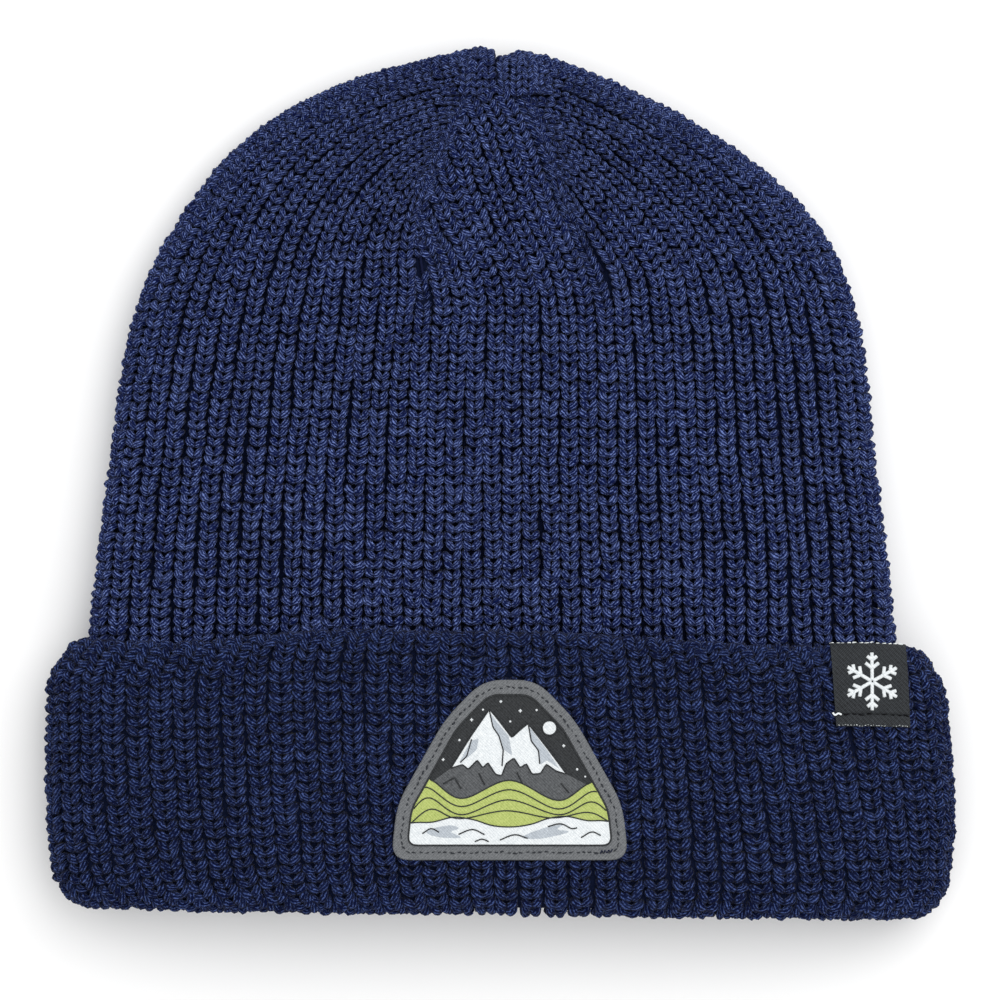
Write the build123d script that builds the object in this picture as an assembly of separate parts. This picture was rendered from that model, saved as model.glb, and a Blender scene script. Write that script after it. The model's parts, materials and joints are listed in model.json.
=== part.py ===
"""A ribbed knit beanie lying flat on its back, cuff turned up, patch and side tag sewn on.

Frame: X across the hat, Y from the mouth towards the crown, Z up from the table.
The origin is the middle of the hat's footprint, on the table. Sizes in millimetres.
"""
from build123d import *
from functools import lru_cache
import math
import os

# ---------------------------------------------------------------- the knit
KNIT_THICKNESS = 4.0
LAYER_GAP = 0.3

# The body tube at stations along Y: (Y, half width, sideways shift, underside Z, top Z).
# Inside the cuff it rides on the cuff's back; past the cuff it sinks to the table.
# The first station lies past the mouth, so that the tube runs straight out of it.
BODY_STATIONS = [
    (-125.0, 109.6, 0.9, 5.0, 22.2),
    (-104.0, 107.3, 0.3, 5.0, 23.4),
    (-85.0, 105.0, -0.6, 5.0, 24.4),
    (-60.0, 102.4, -1.6, 5.0, 25.0),
    (-38.0, 100.8, -2.1, 4.8, 25.4),
    (-16.0, 98.7, -1.9, 1.0, 25.4),
    (5.0, 96.0, -2.0, 0.0, 25.0),
    (28.0, 93.5, -1.4, 0.0, 24.4),
    (48.0, 89.2, -0.9, 0.0, 23.4),
    (65.0, 80.8, -0.6, 0.0, 22.2),
    (78.0, 70.2, -2.3, 0.2, 20.8),
    (88.0, 57.4, -4.4, 0.8, 19.2),
    (96.0, 43.6, -6.0, 1.7, 17.4),
    (102.0, 29.6, -4.4, 2.7, 15.6),
    (106.0, 16.8, -2.4, 3.7, 13.9),
    (108.6, 6.4, -1.1, 5.0, 12.0),
]
BODY_END = -104.0

# The turned-up cuff between its two rounded edges: (Y, half width, sideways shift).
CUFF_STATIONS = [
    (-102.5, 111.5, 0.1),
    (-97.0, 112.7, 0.1),
    (-88.0, 113.5, 0.1),
    (-76.0, 113.7, 0.0),
    (-62.0, 113.3, -0.3),
    (-51.0, 112.6, -0.6),
    (-45.0, 112.2, -0.8),
    (-42.0, 111.9, -0.9),
]
CUFF_HEIGHT = 30.0
# The rounded edges: (Y of the edge, radius, half width, sideways shift, way it faces along Y).
CUFF_MOUTH_EDGE = (-109.0, 4.2, 110.4, 0.0, -1.0)
CUFF_TOP_EDGE = (-38.0, 2.6, 111.6, -0.9, 1.0)
EDGE_ANGLES = (0.0, 30.0, 58.0, 80.0)

# The flared mouth inside the bottom fold: (Y, depth below the body's skin).
MOUTH_FLARE = [(-103.0, 4.0), (-105.5, 3.6), (-107.5, 2.4), (-108.7, 0.9), (-109.6, -0.9)]

# How a flattened ring is rounded: the foot's share of the height and width, the side's height,
# and the powers that make the dome fuller than an ellipse.
SIDE_HEIGHT = 0.42
FOOT_IN = 0.40
FOOT_LIMIT = 0.5
DOME_ACROSS = 0.5
DOME_UP = 0.75
FOOT_STEPS = 5
DOME_STEPS = 10
RINGS_BETWEEN = 2
SMALLEST_RING = 2.0

# ---------------------------------------------------------------- the crown
# Seams as plan paths (X, Y) from the foot of each seam to the apex.
FRONT_LEFT_SEAM = [(-18.0, 47.0), (-18.4, 72.0), (-12.5, 88.0), (-6.0, 101.5)]
FRONT_RIGHT_SEAM = [(28.0, 50.0), (18.8, 63.0), (13.5, 78.0), (3.4, 101.5)]
BACK_LEFT_SEAM = [(-23.0, 48.0), (-20.0, 70.0), (-13.0, 87.0), (-5.4, 100.5)]
BACK_RIGHT_SEAM = [(21.0, 48.0), (17.0, 70.0), (10.0, 87.0), (3.0, 100.5)]
SEAM_WIDTH = 2.2
SEAM_DEPTH = 1.7
THREAD_WIDTH = 1.0
THREAD_DEPTH = 0.7
KNOT_RADIUS = 2.4
KNOT_CENTRE = (-1.1, 107.4, 8.5)
KNOT_SIDES = 10
KNOT_PROFILE = [(-1.0, 0.45), (-0.6, 0.87), (0.0, 1.0), (0.6, 0.87), (1.0, 0.45)]

# ---------------------------------------------------------------- the patch
PATCH_MIDDLE = (2.4, -71.3)
# Right half of the cut outline from the middle of the foot to the peak.
PATCH_OUTLINE = [(29.3, -22.2), (27.8, -8.5), (16.0, 12.5), (6.5, 22.2)]
PATCH_CORNER = 4.0
PATCH_HALF_BED = 32.0
PATCH_BORDER = 3.7
PATCH_THICKNESS = 1.2
WEAVE_THICKNESS = 0.3
# Motifs in plan from the patch's middle; the frame clips what runs past it.
SNOW_PEAKS = [
    (-14.5, 0.5), (-5.0, 15.0), (0.5, 8.0), (4.5, 11.5), (14.0, -1.0),
    (9.0, 1.5), (5.5, -1.0), (1.0, 3.0), (-3.5, -1.0), (-8.0, 2.5),
]
GREEN_HILLS = [
    (-30.0, -8.0), (-21.0, -2.0), (-12.0, -7.0), (0.0, -2.5), (12.0, -7.5), (21.0, -3.0),
    (30.0, -9.0), (30.0, -13.5), (14.0, -10.8), (0.0, -13.0), (-14.0, -10.8), (-30.0, -14.0),
]
SNOW_BANK = [
    (-30.0, -15.0), (-14.0, -11.8), (0.0, -14.0), (14.0, -11.8), (30.0, -14.5),
    (30.0, -30.0), (-30.0, -30.0),
]
STITCH_PITCH = 1.9
STITCH_LENGTH = 1.2
STITCH_WIDTH = 0.45
STITCH_RISE = 0.25

# ---------------------------------------------------------------- the side tag
TAG_LEFT = 81.7
TAG_RIGHT = 100.9
TAG_FOOT = -60.7
TAG_THICKNESS = 0.9
TAG_INNER_FOOT = -57.0
TAG_SEAM_Y = -57.8
TAG_SEAM_INSET = 0.8
TAG_MARK_ARM = 5.0
TAG_MARK_WIDTH = 1.0
TAG_MARK_ARMS = 6

# ---------------------------------------------------------------- shared
MID_HEIGHT = 12.0
CLEAR_OVER = 60.0


# ---------------------------------------------------------------- rings and forms
def half_ring(half_width, low, high):
    """The right half of a flattened ring, as (X, Z) from its foot round the side to the top."""
    side = low + (high - low) * SIDE_HEIGHT
    foot_in = min((high - low) * FOOT_IN, half_width * FOOT_LIMIT)
    points = []
    for step in range(FOOT_STEPS):
        turn = math.pi / 2 * step / FOOT_STEPS
        x = half_width - foot_in * (1 - math.sin(turn))
        points.append((x, side - (side - low) * math.cos(turn)))
    for step in range(DOME_STEPS):
        turn = math.pi / 2 * step / DOME_STEPS
        x = half_width * math.cos(turn) ** DOME_ACROSS
        points.append((x, side + (high - side) * math.sin(turn) ** DOME_UP))
    return points


def ring(y, half_width, shift, low, high):
    """One closed ring of the flattened tube: flat below, folded at the sides, domed above."""
    right = half_ring(half_width, low, high)
    points = [Vector(shift + x, y, z) for x, z in right]
    points.append(Vector(shift, y, high))
    points += [Vector(shift - x, y, z) for x, z in reversed(right)]
    return Wire.make_polygon(points, close=True)


def between(before, start, end, after, share):
    """A ring's values part of the way from start to end, on a smooth run through all four."""
    values = []
    for p, q, r, s in zip(before, start, end, after):
        pull = (r - p) * share
        bend = (2 * p - 5 * q + 4 * r - s) * share**2
        twist = (3 * q - p - 3 * r + s) * share**3
        values.append(q + (pull + bend + twist) / 2)
    return tuple(values)


def smooth_rings(rings):
    """The rings with further ones laid smoothly between them."""
    last = len(rings) - 1
    filled = []
    for index in range(last):
        before = rings[max(index - 1, 0)]
        after = rings[min(index + 2, last)]
        for step in range(RINGS_BETWEEN):
            share = step / RINGS_BETWEEN
            filled.append(between(before, rings[index], rings[index + 1], after, share))
    return filled + [rings[last]]


def loft_rings(rings):
    """A filled form through a list of rings."""
    return Solid.make_loft([ring(*values) for values in rings], ruled=True)


def body_rings(depth):
    """The body's stations moved inwards by depth, square to the outline seen from above."""
    moved = []
    last = len(BODY_STATIONS) - 1
    for index, (y, half_width, shift, low, high) in enumerate(BODY_STATIONS):
        before = BODY_STATIONS[max(index - 1, 0)]
        after = BODY_STATIONS[min(index + 1, last)]
        run = after[0] - before[0]
        narrowing = before[1] - after[1]
        length = math.hypot(run, narrowing)
        half_width -= depth * run / length
        y -= depth * narrowing / length
        low += depth
        high -= depth
        if high - low > SMALLEST_RING and half_width > SMALLEST_RING:
            moved.append((y, half_width, shift, low, high))
    return moved


@lru_cache(maxsize=None)
def body_form(depth):
    """The body tube as one filled form, its skin moved inwards by depth."""
    return loft_rings(smooth_rings(body_rings(depth)))


def cut_at(form, y):
    """What of a form lies on the crown's side of an upright plane across the hat."""
    return split(form, bisect_by=Plane(origin=(0, y, 0), z_dir=(0, 1, 0)), keep=Keep.TOP)


def body_clearance(growth):
    """The room the body takes up inside the cuff, grown all round and past its end."""
    return cut_at(body_form(-growth), BODY_END - LAYER_GAP)


@lru_cache(maxsize=None)
def mouth_flare():
    """The rounding of the mouth where the knit turns over at the bottom fold."""
    y, half_width, shift, low, high = BODY_STATIONS[1]
    rings = []
    for flare_y, depth in MOUTH_FLARE:
        rings.append((flare_y, half_width - depth, shift, low + depth, high - depth))
    return loft_rings(rings)


def edge_rings(edge, growth):
    """Rings that round an edge of the cuff, its skin moved outwards by growth."""
    edge_y, radius, half_width, shift, facing = edge
    reach = radius + growth
    rings = []
    for angle in EDGE_ANGLES:
        turn = math.radians(angle)
        y = edge_y + facing * (reach * math.sin(turn) - radius)
        inset = radius - reach * math.cos(turn)
        rings.append((y, half_width - inset, shift, inset, CUFF_HEIGHT - inset))
    return rings


@lru_cache(maxsize=None)
def cuff_form(growth):
    """The cuff's outer shape as one filled form, its skin moved outwards by growth."""
    rings = edge_rings(CUFF_MOUTH_EDGE, growth)
    rings.reverse()
    for y, half_width, shift in CUFF_STATIONS:
        rings.append((y, half_width + growth, shift, -growth, CUFF_HEIGHT + growth))
    rings += edge_rings(CUFF_TOP_EDGE, growth)
    return loft_rings(rings)


@lru_cache(maxsize=None)
def cuff_bed(growth, low_x, high_x):
    """The cuff's front between two X, its skin moved outwards by growth."""
    corner = Pos(low_x, CUFF_MOUTH_EDGE[0], MID_HEIGHT)
    size = (high_x - low_x, CUFF_TOP_EDGE[0] - CUFF_MOUTH_EDGE[0], CLEAR_OVER)
    return (corner * Box(*size, align=(Align.MIN, Align.MIN, Align.MIN))) & cuff_form(growth)


def on_cuff(face, low, high, low_x, high_x):
    """A plan face turned into a skin between two heights above the cuff's front."""
    block = extrude(Pos(0, 0, MID_HEIGHT) * face, CLEAR_OVER)
    return (block & cuff_bed(high, low_x, high_x)) - cuff_bed(low, low_x, high_x)


def above_table(solid):
    """What of a solid lies above the table, which gives it a flat face to rest on."""
    return split(solid, bisect_by=Plane.XY, keep=Keep.TOP)


def one_solid(shape):
    """The largest solid of a shape, free of slivers."""
    return shape.solids().sort_by(SortBy.VOLUME)[-1]


# ---------------------------------------------------------------- crown seams
def seam_wall(points, width, facing):
    """An upright wall that follows a seam in plan, above or below the middle of the hat."""
    path = Spline(*[(x, y, MID_HEIGHT) for x, y in points])
    start = Plane(origin=path @ 0, x_dir=(0, 0, 1), z_dir=path % 0)
    lean = Align.MIN if facing > 0 else Align.MAX
    section = start * Rectangle(MID_HEIGHT * 2, width, align=(lean, Align.CENTER))
    return sweep(section, path=path)


def seam_groove(points, facing):
    """What a crown seam draws in: a furrow along the seam in the body's outer face."""
    return seam_wall(points, SEAM_WIDTH, facing) - body_form(SEAM_DEPTH)


def seam_thread(points, facing):
    """The thread of a crown seam, lying in the bottom of its furrow."""
    band = seam_wall(points, THREAD_WIDTH, facing) & body_form(THREAD_DEPTH)
    return one_solid(band - body_form(SEAM_DEPTH))


def closing_knot():
    """The drawn-up knot at the tip of the crown, a round bead along Y."""
    x, y, z = KNOT_CENTRE
    rings = []
    for along, across in KNOT_PROFILE:
        level = Plane(origin=(x, y + along * KNOT_RADIUS, z), z_dir=(0, 1, 0))
        rings.append((level * RegularPolygon(across * KNOT_RADIUS, KNOT_SIDES)).wire())
    return Solid.make_loft(rings, ruled=True)


# ---------------------------------------------------------------- the knit
SEAMS = {
    "crown_seam_front_left": (FRONT_LEFT_SEAM, 1),
    "crown_seam_front_right": (FRONT_RIGHT_SEAM, 1),
    "crown_seam_back_left": (BACK_LEFT_SEAM, -1),
    "crown_seam_back_right": (BACK_RIGHT_SEAM, -1),
}


def knit_body():
    """The ribbed tube and crown, hollow and open at the mouth."""
    body = cut_at(body_form(0.0), BODY_END) - body_form(KNIT_THICKNESS)
    for points, facing in SEAMS.values():
        body -= seam_groove(points, facing)
    body -= closing_knot()
    return one_solid(above_table(body))


def tag_strip(low_y):
    """The upright block that the side tag is cut from."""
    width = TAG_RIGHT - TAG_LEFT
    corner = Pos(TAG_LEFT, low_y, MID_HEIGHT)
    return corner * Box(width, -low_y, CLEAR_OVER, align=(Align.MIN, Align.MIN, Align.MIN))


def knit_cuff():
    """The turned-up band: it laps round the body's end and leaves the mouth open."""
    cuff = cuff_form(0.0) - body_clearance(LAYER_GAP) - body_form(KNIT_THICKNESS) - mouth_flare()
    pocket = tag_strip(TAG_INNER_FOOT) & body_clearance(LAYER_GAP + TAG_THICKNESS)
    return one_solid(above_table(cuff - pocket))


# ---------------------------------------------------------------- the patch
def patch_face(inset):
    """The patch's cut outline in plan, moved inwards by inset."""
    right = PATCH_OUTLINE
    left = [(-x, y) for x, y in reversed(right)]
    outline = make_face(Polyline(*right, *left, close=True))
    rounded = fillet(outline.vertices(), PATCH_CORNER)
    if inset > 0:
        rounded = offset(rounded, -inset)
    return rounded


def over_cuff(face, low, high):
    """A plan face on the patch turned into a skin between two heights above the cuff."""
    middle = Pos(PATCH_MIDDLE[0], PATCH_MIDDLE[1])
    low_x = PATCH_MIDDLE[0] - PATCH_HALF_BED
    high_x = PATCH_MIDDLE[0] + PATCH_HALF_BED
    return on_cuff(middle * face, low, high, low_x, high_x)


def woven_shape(points):
    """A motif of the weave, as a closed plan shape clipped to the patch's picture."""
    return make_face(Polyline(*points, close=True)) & patch_face(PATCH_BORDER)


def patch_pieces():
    """The patch: its grey ground and the black, white and green weave on it."""
    floor = PATCH_THICKNESS
    picture = floor + WEAVE_THICKNESS
    top = picture + WEAVE_THICKNESS
    white = [woven_shape(SNOW_PEAKS), woven_shape(SNOW_BANK)]
    return {
        "patch_ground": over_cuff(patch_face(0.0), 0.0, floor),
        "patch_black_weave": over_cuff(patch_face(PATCH_BORDER), floor, picture),
        "patch_white_weave": over_cuff(Sketch() + white, picture, top),
        "patch_green_weave": over_cuff(woven_shape(GREEN_HILLS), picture, top),
    }


def stitches_along(path, pitch):
    """Short stitches laid end to end along a plan path, as plan shapes."""
    count = round(path.length / pitch)
    stitches = []
    for index in range(count):
        share = (index + 0.5) / count
        heading = path % share
        angle = math.degrees(math.atan2(heading.Y, heading.X))
        spot = path @ share
        stitch = Rectangle(STITCH_LENGTH, STITCH_WIDTH)
        stitches.append(Pos(spot.X, spot.Y) * Rot(Z=angle) * stitch)
    return Sketch() + stitches


def patch_stitching():
    """The row of stitches down the middle of the patch's border."""
    middle = patch_face(PATCH_BORDER / 2).face().outer_wire()
    low = PATCH_THICKNESS
    return over_cuff(stitches_along(middle, STITCH_PITCH), low, low + STITCH_RISE)


# ---------------------------------------------------------------- the side tag
def side_tag(cuff):
    """The woven tag, folded over the cuff's top edge with one leg each side of it."""
    strip = tag_strip(TAG_FOOT) & cuff_form(TAG_THICKNESS)
    return one_solid(strip - cuff - body_clearance(LAYER_GAP))


def on_tag(face):
    """A plan face turned into a thin skin on the tag's outer leg."""
    high = TAG_THICKNESS + STITCH_RISE
    return on_cuff(face, TAG_THICKNESS, high, TAG_LEFT, TAG_RIGHT)


def side_tag_mark():
    """The plain six-armed star woven on the tag."""
    middle = Pos((TAG_LEFT + TAG_RIGHT) / 2, (TAG_FOOT + CUFF_TOP_EDGE[0]) / 2)
    arms = []
    for index in range(TAG_MARK_ARMS // 2):
        turn = Rot(Z=90.0 + index * 360.0 / TAG_MARK_ARMS)
        arms.append(middle * turn * Rectangle(TAG_MARK_ARM * 2, TAG_MARK_WIDTH))
    return on_tag(Sketch() + arms)


def side_tag_stitching():
    """The stitches that hold the tag's legs to the cuff."""
    seam = Line((TAG_LEFT + TAG_SEAM_INSET, TAG_SEAM_Y), (TAG_RIGHT - TAG_SEAM_INSET, TAG_SEAM_Y))
    return on_tag(stitches_along(seam, STITCH_PITCH))


# ---------------------------------------------------------------- the hat
def build():
    """Every piece of the hat by node name."""
    cuff = knit_cuff()
    pieces = {
        "knit_body": knit_body(),
        "knit_cuff": cuff,
        "crown_closing_knot": closing_knot(),
        "side_tag": side_tag(cuff),
        "side_tag_mark": side_tag_mark(),
        "side_tag_stitching": side_tag_stitching(),
        "patch_stitching": patch_stitching(),
    }
    for name, (points, facing) in SEAMS.items():
        pieces[name] = seam_thread(points, facing)
    pieces.update(patch_pieces())
    return pieces


os.makedirs("parts", exist_ok=True)
for name, piece in build().items():
    export_step(piece, os.path.join("parts", name + ".step"))
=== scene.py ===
"""The looks of a ribbed knit beanie lying flat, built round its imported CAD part.

The knit is made stitch by stitch: each stitch is a pair of plump yarn legs, laid by Geometry
Nodes along ribs that follow the CAD surfaces. The patch, the side tag and the sewing threads
are woven or spun pieces laid on the knit.
"""

import json
import logging
import math
from dataclasses import asdict, dataclass, field
from enum import Enum
from typing import Any, Iterable, Sequence

import bmesh
import bpy
import numpy as np
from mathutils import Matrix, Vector
from mathutils.geometry import delaunay_2d_cdt

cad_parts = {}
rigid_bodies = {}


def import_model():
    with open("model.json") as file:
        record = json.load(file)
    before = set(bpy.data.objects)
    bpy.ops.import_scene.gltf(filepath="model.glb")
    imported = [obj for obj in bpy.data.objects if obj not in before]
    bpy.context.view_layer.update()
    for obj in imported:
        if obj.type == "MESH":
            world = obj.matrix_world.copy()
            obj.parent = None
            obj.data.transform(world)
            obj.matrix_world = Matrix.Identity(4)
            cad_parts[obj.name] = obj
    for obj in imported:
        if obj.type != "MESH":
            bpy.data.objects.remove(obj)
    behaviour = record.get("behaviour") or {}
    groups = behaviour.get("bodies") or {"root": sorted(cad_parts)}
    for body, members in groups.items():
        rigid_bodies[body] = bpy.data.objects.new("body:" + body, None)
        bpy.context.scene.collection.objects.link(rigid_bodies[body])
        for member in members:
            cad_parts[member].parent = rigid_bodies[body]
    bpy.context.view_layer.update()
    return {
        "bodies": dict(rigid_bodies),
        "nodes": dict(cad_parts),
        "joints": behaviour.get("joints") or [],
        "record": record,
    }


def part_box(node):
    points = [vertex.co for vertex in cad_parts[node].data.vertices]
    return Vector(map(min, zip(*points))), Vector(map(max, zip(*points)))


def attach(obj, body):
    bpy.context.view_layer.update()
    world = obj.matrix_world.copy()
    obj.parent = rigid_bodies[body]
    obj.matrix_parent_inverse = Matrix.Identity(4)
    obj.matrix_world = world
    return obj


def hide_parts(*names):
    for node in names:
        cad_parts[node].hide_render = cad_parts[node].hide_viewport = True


LOG = logging.getLogger("beanie")
ROOT = "root"
MM = 0.001
TINY = 1e-9
SHARP_ANGLE = math.radians(40.0)
Array = np.ndarray
Object = bpy.types.Object
Material = bpy.types.Material
Pair = tuple[float, float]
Triple = tuple[float, float, float]
Pairs = tuple[Pair, ...]
Tones = dict[str, Material]


# ---- choices
class Face(Enum):
    """Which side of the flat-lying hat a piece of knit is on."""

    FRONT = 1
    BACK = -1


class Side(Enum):
    """Which fold of the flattened tube a rib is counted from."""

    LEFT = -1
    RIGHT = 1


# ---- nodes and shader maths
class Expr:
    """A node's output, which can be used in ordinary arithmetic."""

    def __init__(self, net: "Net", socket: bpy.types.NodeSocket) -> None:
        """Wraps an output socket of a tree."""
        self.net = net
        self.socket = socket

    def _math(self, operation: str, *values: Any) -> "Expr":
        """One Math node."""
        return self.net.node("ShaderNodeMath", {"operation": operation}, dict(enumerate(values)))

    def __add__(self, other: Any) -> "Expr":
        """This plus the other."""
        return self._math("ADD", self, other)

    def __sub__(self, other: Any) -> "Expr":
        """This less the other."""
        return self._math("SUBTRACT", self, other)

    def __rsub__(self, other: Any) -> "Expr":
        """The other less this."""
        return self._math("SUBTRACT", other, self)

    def __mul__(self, other: Any) -> "Expr":
        """This times the other."""
        return self._math("MULTIPLY", self, other)

    def __pow__(self, other: Any) -> "Expr":
        """This to the power of the other."""
        return self._math("POWER", self, other)

    def sin(self) -> "Expr":
        """The sine, in radians."""
        return self._math("SINE", self)

    def clamp(self) -> "Expr":
        """The value held between nothing and one."""
        return self.net.node("ShaderNodeClamp", {}, {"Value": self})


class Net:
    """A node tree whose nodes are all made by one method."""

    def __init__(self, tree: bpy.types.NodeTree) -> None:
        """Takes over a tree."""
        self.tree = tree

    def node(self, kind: str, settings: dict[str, Any], inputs: dict[Any, Any], out: Any = 0) -> Expr:
        """Makes one node.

        Args:
            kind: The node's type name.
            settings: Its properties, set before any input.
            inputs: Socket name or number to a value or an Expr.
            out: The output socket's name or number.

        Returns:
            The chosen output.
        """
        made = self.tree.nodes.new(kind)
        for key, value in settings.items():
            setattr(made, key, value)
        for key, value in inputs.items():
            if isinstance(value, Expr):
                self.tree.links.new(value.socket, made.inputs[key])
            else:
                made.inputs[key].default_value = value
        return Expr(self, made.outputs[out])

    def vector_math(self, operation: str, inputs: dict[Any, Any]) -> Expr:
        """One Vector Math node."""
        return self.node("ShaderNodeVectorMath", {"operation": operation}, inputs)


class Graph(Net):
    """A material's nodes, joined by Expr arithmetic."""

    def __init__(self, name: str) -> None:
        """Starts an empty material of a name."""
        self.material = bpy.data.materials.new(name)
        self.material.use_nodes = True
        super().__init__(self.material.node_tree)
        self.tree.nodes.clear()
        self.output = self.tree.nodes.new("ShaderNodeOutputMaterial")

    def attribute(self, name: str) -> Expr:
        """A number stored on the mesh."""
        return self.node("ShaderNodeAttribute", {"attribute_name": name}, {}, "Fac")

    def first_two(self, vector: Expr) -> tuple[Expr, Expr]:
        """The first two parts of a vector."""
        outputs = self.node("ShaderNodeSeparateXYZ", {}, {0: vector}).socket.node.outputs
        return Expr(self, outputs[0]), Expr(self, outputs[1])

    def noise(self, vector: Expr, scale: float, detail: float = 2.0) -> Expr:
        """Soft noise over a position."""
        return self.node("ShaderNodeTexNoise", {}, {"Vector": vector, "Scale": scale, "Detail": detail})

    def place(self) -> Expr:
        """The position on the object, in metres."""
        return self.node("ShaderNodeTexCoord", {}, {}, "Object")

    def mix(self, share: Expr, first: Any, second: Any) -> Expr:
        """A colour between two colours."""
        return self.node("ShaderNodeMix", {"data_type": "RGBA"}, {0: share, 6: first, 7: second}, 2)

    def bump(self, height: Expr, distance: float, strength: float = 1.0) -> Expr:
        """The normal of a surface with a fine relief."""
        return self.node("ShaderNodeBump", {}, {"Strength": strength, "Distance": distance, "Height": height})

    def end(self, shader: Expr) -> Material:
        """The material, ended in a shader."""
        self.tree.links.new(shader.socket, self.output.inputs["Surface"])
        return self.material

    def finish(self, sockets: dict[str, Any]) -> Material:
        """The material, ended in a Principled shader with these inputs."""
        return self.end(self.node("ShaderNodeBsdfPrincipled", {}, sockets))


def colour(tone: Triple, gain: float = 1.0) -> tuple[float, float, float, float]:
    """A display colour times a gain, as the linear colour that shaders want."""
    red, green, blue = (
        c * gain / 12.92 if c * gain <= 0.04045 else ((c * gain + 0.055) / 1.055) ** 2.4 for c in tone
    )
    return (red, green, blue, 1.0)


# ---- finishes
@dataclass(frozen=True)
class YarnFinish:
    """Spun yarn: plies that run along it, soft fibres and a little colour drift."""

    name: str
    # light and dark: the plies' ridges are painted light as highlight, their valleys and the legs' ends dark
    # as shade.
    light: Triple = (0.455, 0.535, 0.785)
    dark: Triple = (0.018, 0.068, 0.250)
    plies: float = 8.0
    twist: float = 1.0
    sharpness: float = 2.4
    fuzz_scale: float = 2600.0
    blotch_scale: float = 1150.0
    drift_scale: float = 120.0
    bump: float = 0.22 * MM
    roughness: float = 0.9
    # How far the painted shade at the legs' ends darkens them.
    shaded: float = 0.85

    def material(self) -> Material:
        """The yarn, painted darker towards its legs' ends as the shade where they lie under the next stitch.
        """
        g = Graph(self.name)
        along, around = g.first_two(g.node("ShaderNodeUVMap", {"uv_map": "yarn"}, {}))
        shade = g.attribute("shade")
        place = g.place()
        fuzz = g.noise(place, self.fuzz_scale, 3.0)
        blotch = g.noise(place, self.blotch_scale)
        drift = g.noise(place, self.drift_scale)
        wave = (around * self.plies + along * self.twist + shade * 3.0 + fuzz) * (2 * math.pi)
        # Painted highlight and shade: the plies' ridges are painted light and their valleys dark; the same
        # ridges also make the bump.
        ridge = (wave.sin() * 0.5 + 0.5) ** self.sharpness
        ply_highlight = ridge * (blotch * 4.0 - 1.45).clamp()
        tone = (ply_highlight * 1.2 + fuzz * 0.30 + drift * 0.16 + (shade - 0.5) * 0.14 - 0.26).clamp()
        # Painted shade: the legs darken towards both ends, where they sink into the groove and under the next
        # stitch.
        ends = (along**4.0 + (1.0 - along) ** 4.0 * 0.6).clamp()
        base = g.mix(tone, colour(self.dark), colour(self.light))
        return g.finish({
            "Base Color": g.mix(ends * self.shaded, base, colour(self.dark, 0.8)),
            "Roughness": self.roughness,
            "Normal": g.bump(ridge + fuzz * 0.6, self.bump, 0.9),
            "Specular IOR Level": 0.06,
            "Sheen Weight": 0.05,
            "Sheen Roughness": 0.5,
        })


@dataclass(frozen=True)
class GroundFinish:
    """The knit between and behind the ribs, painted dark as the shade in the grooves."""

    name: str
    # A dark tone painted as the shade of the deep knit between the ribs.
    tone: Triple = (0.040, 0.065, 0.145)
    scale: float = 1500.0

    def material(self) -> Material:
        """The knit's painted shade."""
        g = Graph(self.name)
        fine = g.noise(g.place(), self.scale, 3.0)
        return g.finish({
            "Base Color": g.mix(fine, colour(self.tone, 0.7), colour(self.tone, 1.5)),
            "Roughness": 0.95,
            "Normal": g.bump(fine, 0.4 * MM),
            "Specular IOR Level": 0.1,
        })


@dataclass(frozen=True)
class WovenFinish:
    """A fine weave: threads in slanting rows, with a little grain over them."""

    name: str
    tone: Triple
    other: Triple
    pitch: float = 0.42 * MM
    slant: float = -1.0
    contrast: float = 0.6
    roughness: float = 0.75
    grain_scale: float = 1900.0
    bump: float = 0.12 * MM

    def material(self) -> Material:
        """The weave."""
        g = Graph(self.name)
        place = g.place()
        x, y = g.first_two(place)
        grain = g.noise(place, self.grain_scale)
        row = ((x * self.slant + y) * (2 * math.pi / self.pitch)).sin() * 0.5 + 0.5
        cross = ((y - x * self.slant) * (math.pi / self.pitch)).sin() * 0.5 + 0.5
        weave = row * 0.65 + cross * 0.35
        tone = (weave * self.contrast + (grain - 0.5) * 0.9 + (0.5 - self.contrast * 0.5)).clamp()
        return g.finish({
            "Base Color": g.mix(tone, colour(self.other), colour(self.tone)),
            "Roughness": self.roughness,
            "Normal": g.bump(weave, self.bump, 0.8),
            "Specular IOR Level": 0.25,
        })


@dataclass(frozen=True)
class PlainFinish:
    """One flat, matt colour, for threads too fine to show more."""

    name: str
    tone: Triple
    roughness: float = 0.9

    def material(self) -> Material:
        """The plain colour."""
        sockets = {"Base Color": colour(self.tone), "Roughness": self.roughness, "Specular IOR Level": 0.1}
        return Graph(self.name).finish(sockets)


# ---- lines and directions
def columns(*values: Array) -> Array:
    """Values side by side, as one row for each point."""
    return np.column_stack(values)


def path_length(points: Array) -> Array:
    """The running length along a line of points."""
    steps = np.linalg.norm(np.diff(points, axis=0), axis=1)
    return np.concatenate([[0.0], np.cumsum(steps)])


def at_lengths(line: Array, run: Array, spots: Array) -> Array:
    """The points of a line, or values beside it, at running lengths."""
    return np.column_stack([np.interp(spots, run, line[:, i]) for i in range(line.shape[1])])


def every(line: Array, step: float) -> Array:
    """A line's points a step apart, from its start."""
    run = path_length(line)
    return at_lengths(line, run, np.arange(0.0, run[-1], step))


def spread_out(line: Array, count: int, endpoint: bool = True) -> Array:
    """A line as a number of evenly spaced points."""
    run = path_length(line)
    return at_lengths(line, run, np.linspace(0.0, run[-1], count, endpoint=endpoint))


def resampled(line: Array, step: float) -> Array:
    """An open line with both ends and points about a step apart."""
    return spread_out(line, max(3, math.ceil(path_length(line)[-1] / step) + 1))


def closed(outline: Array) -> Array:
    """An outline that ends on its first point."""
    return np.vstack([outline, outline[:1]])


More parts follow.
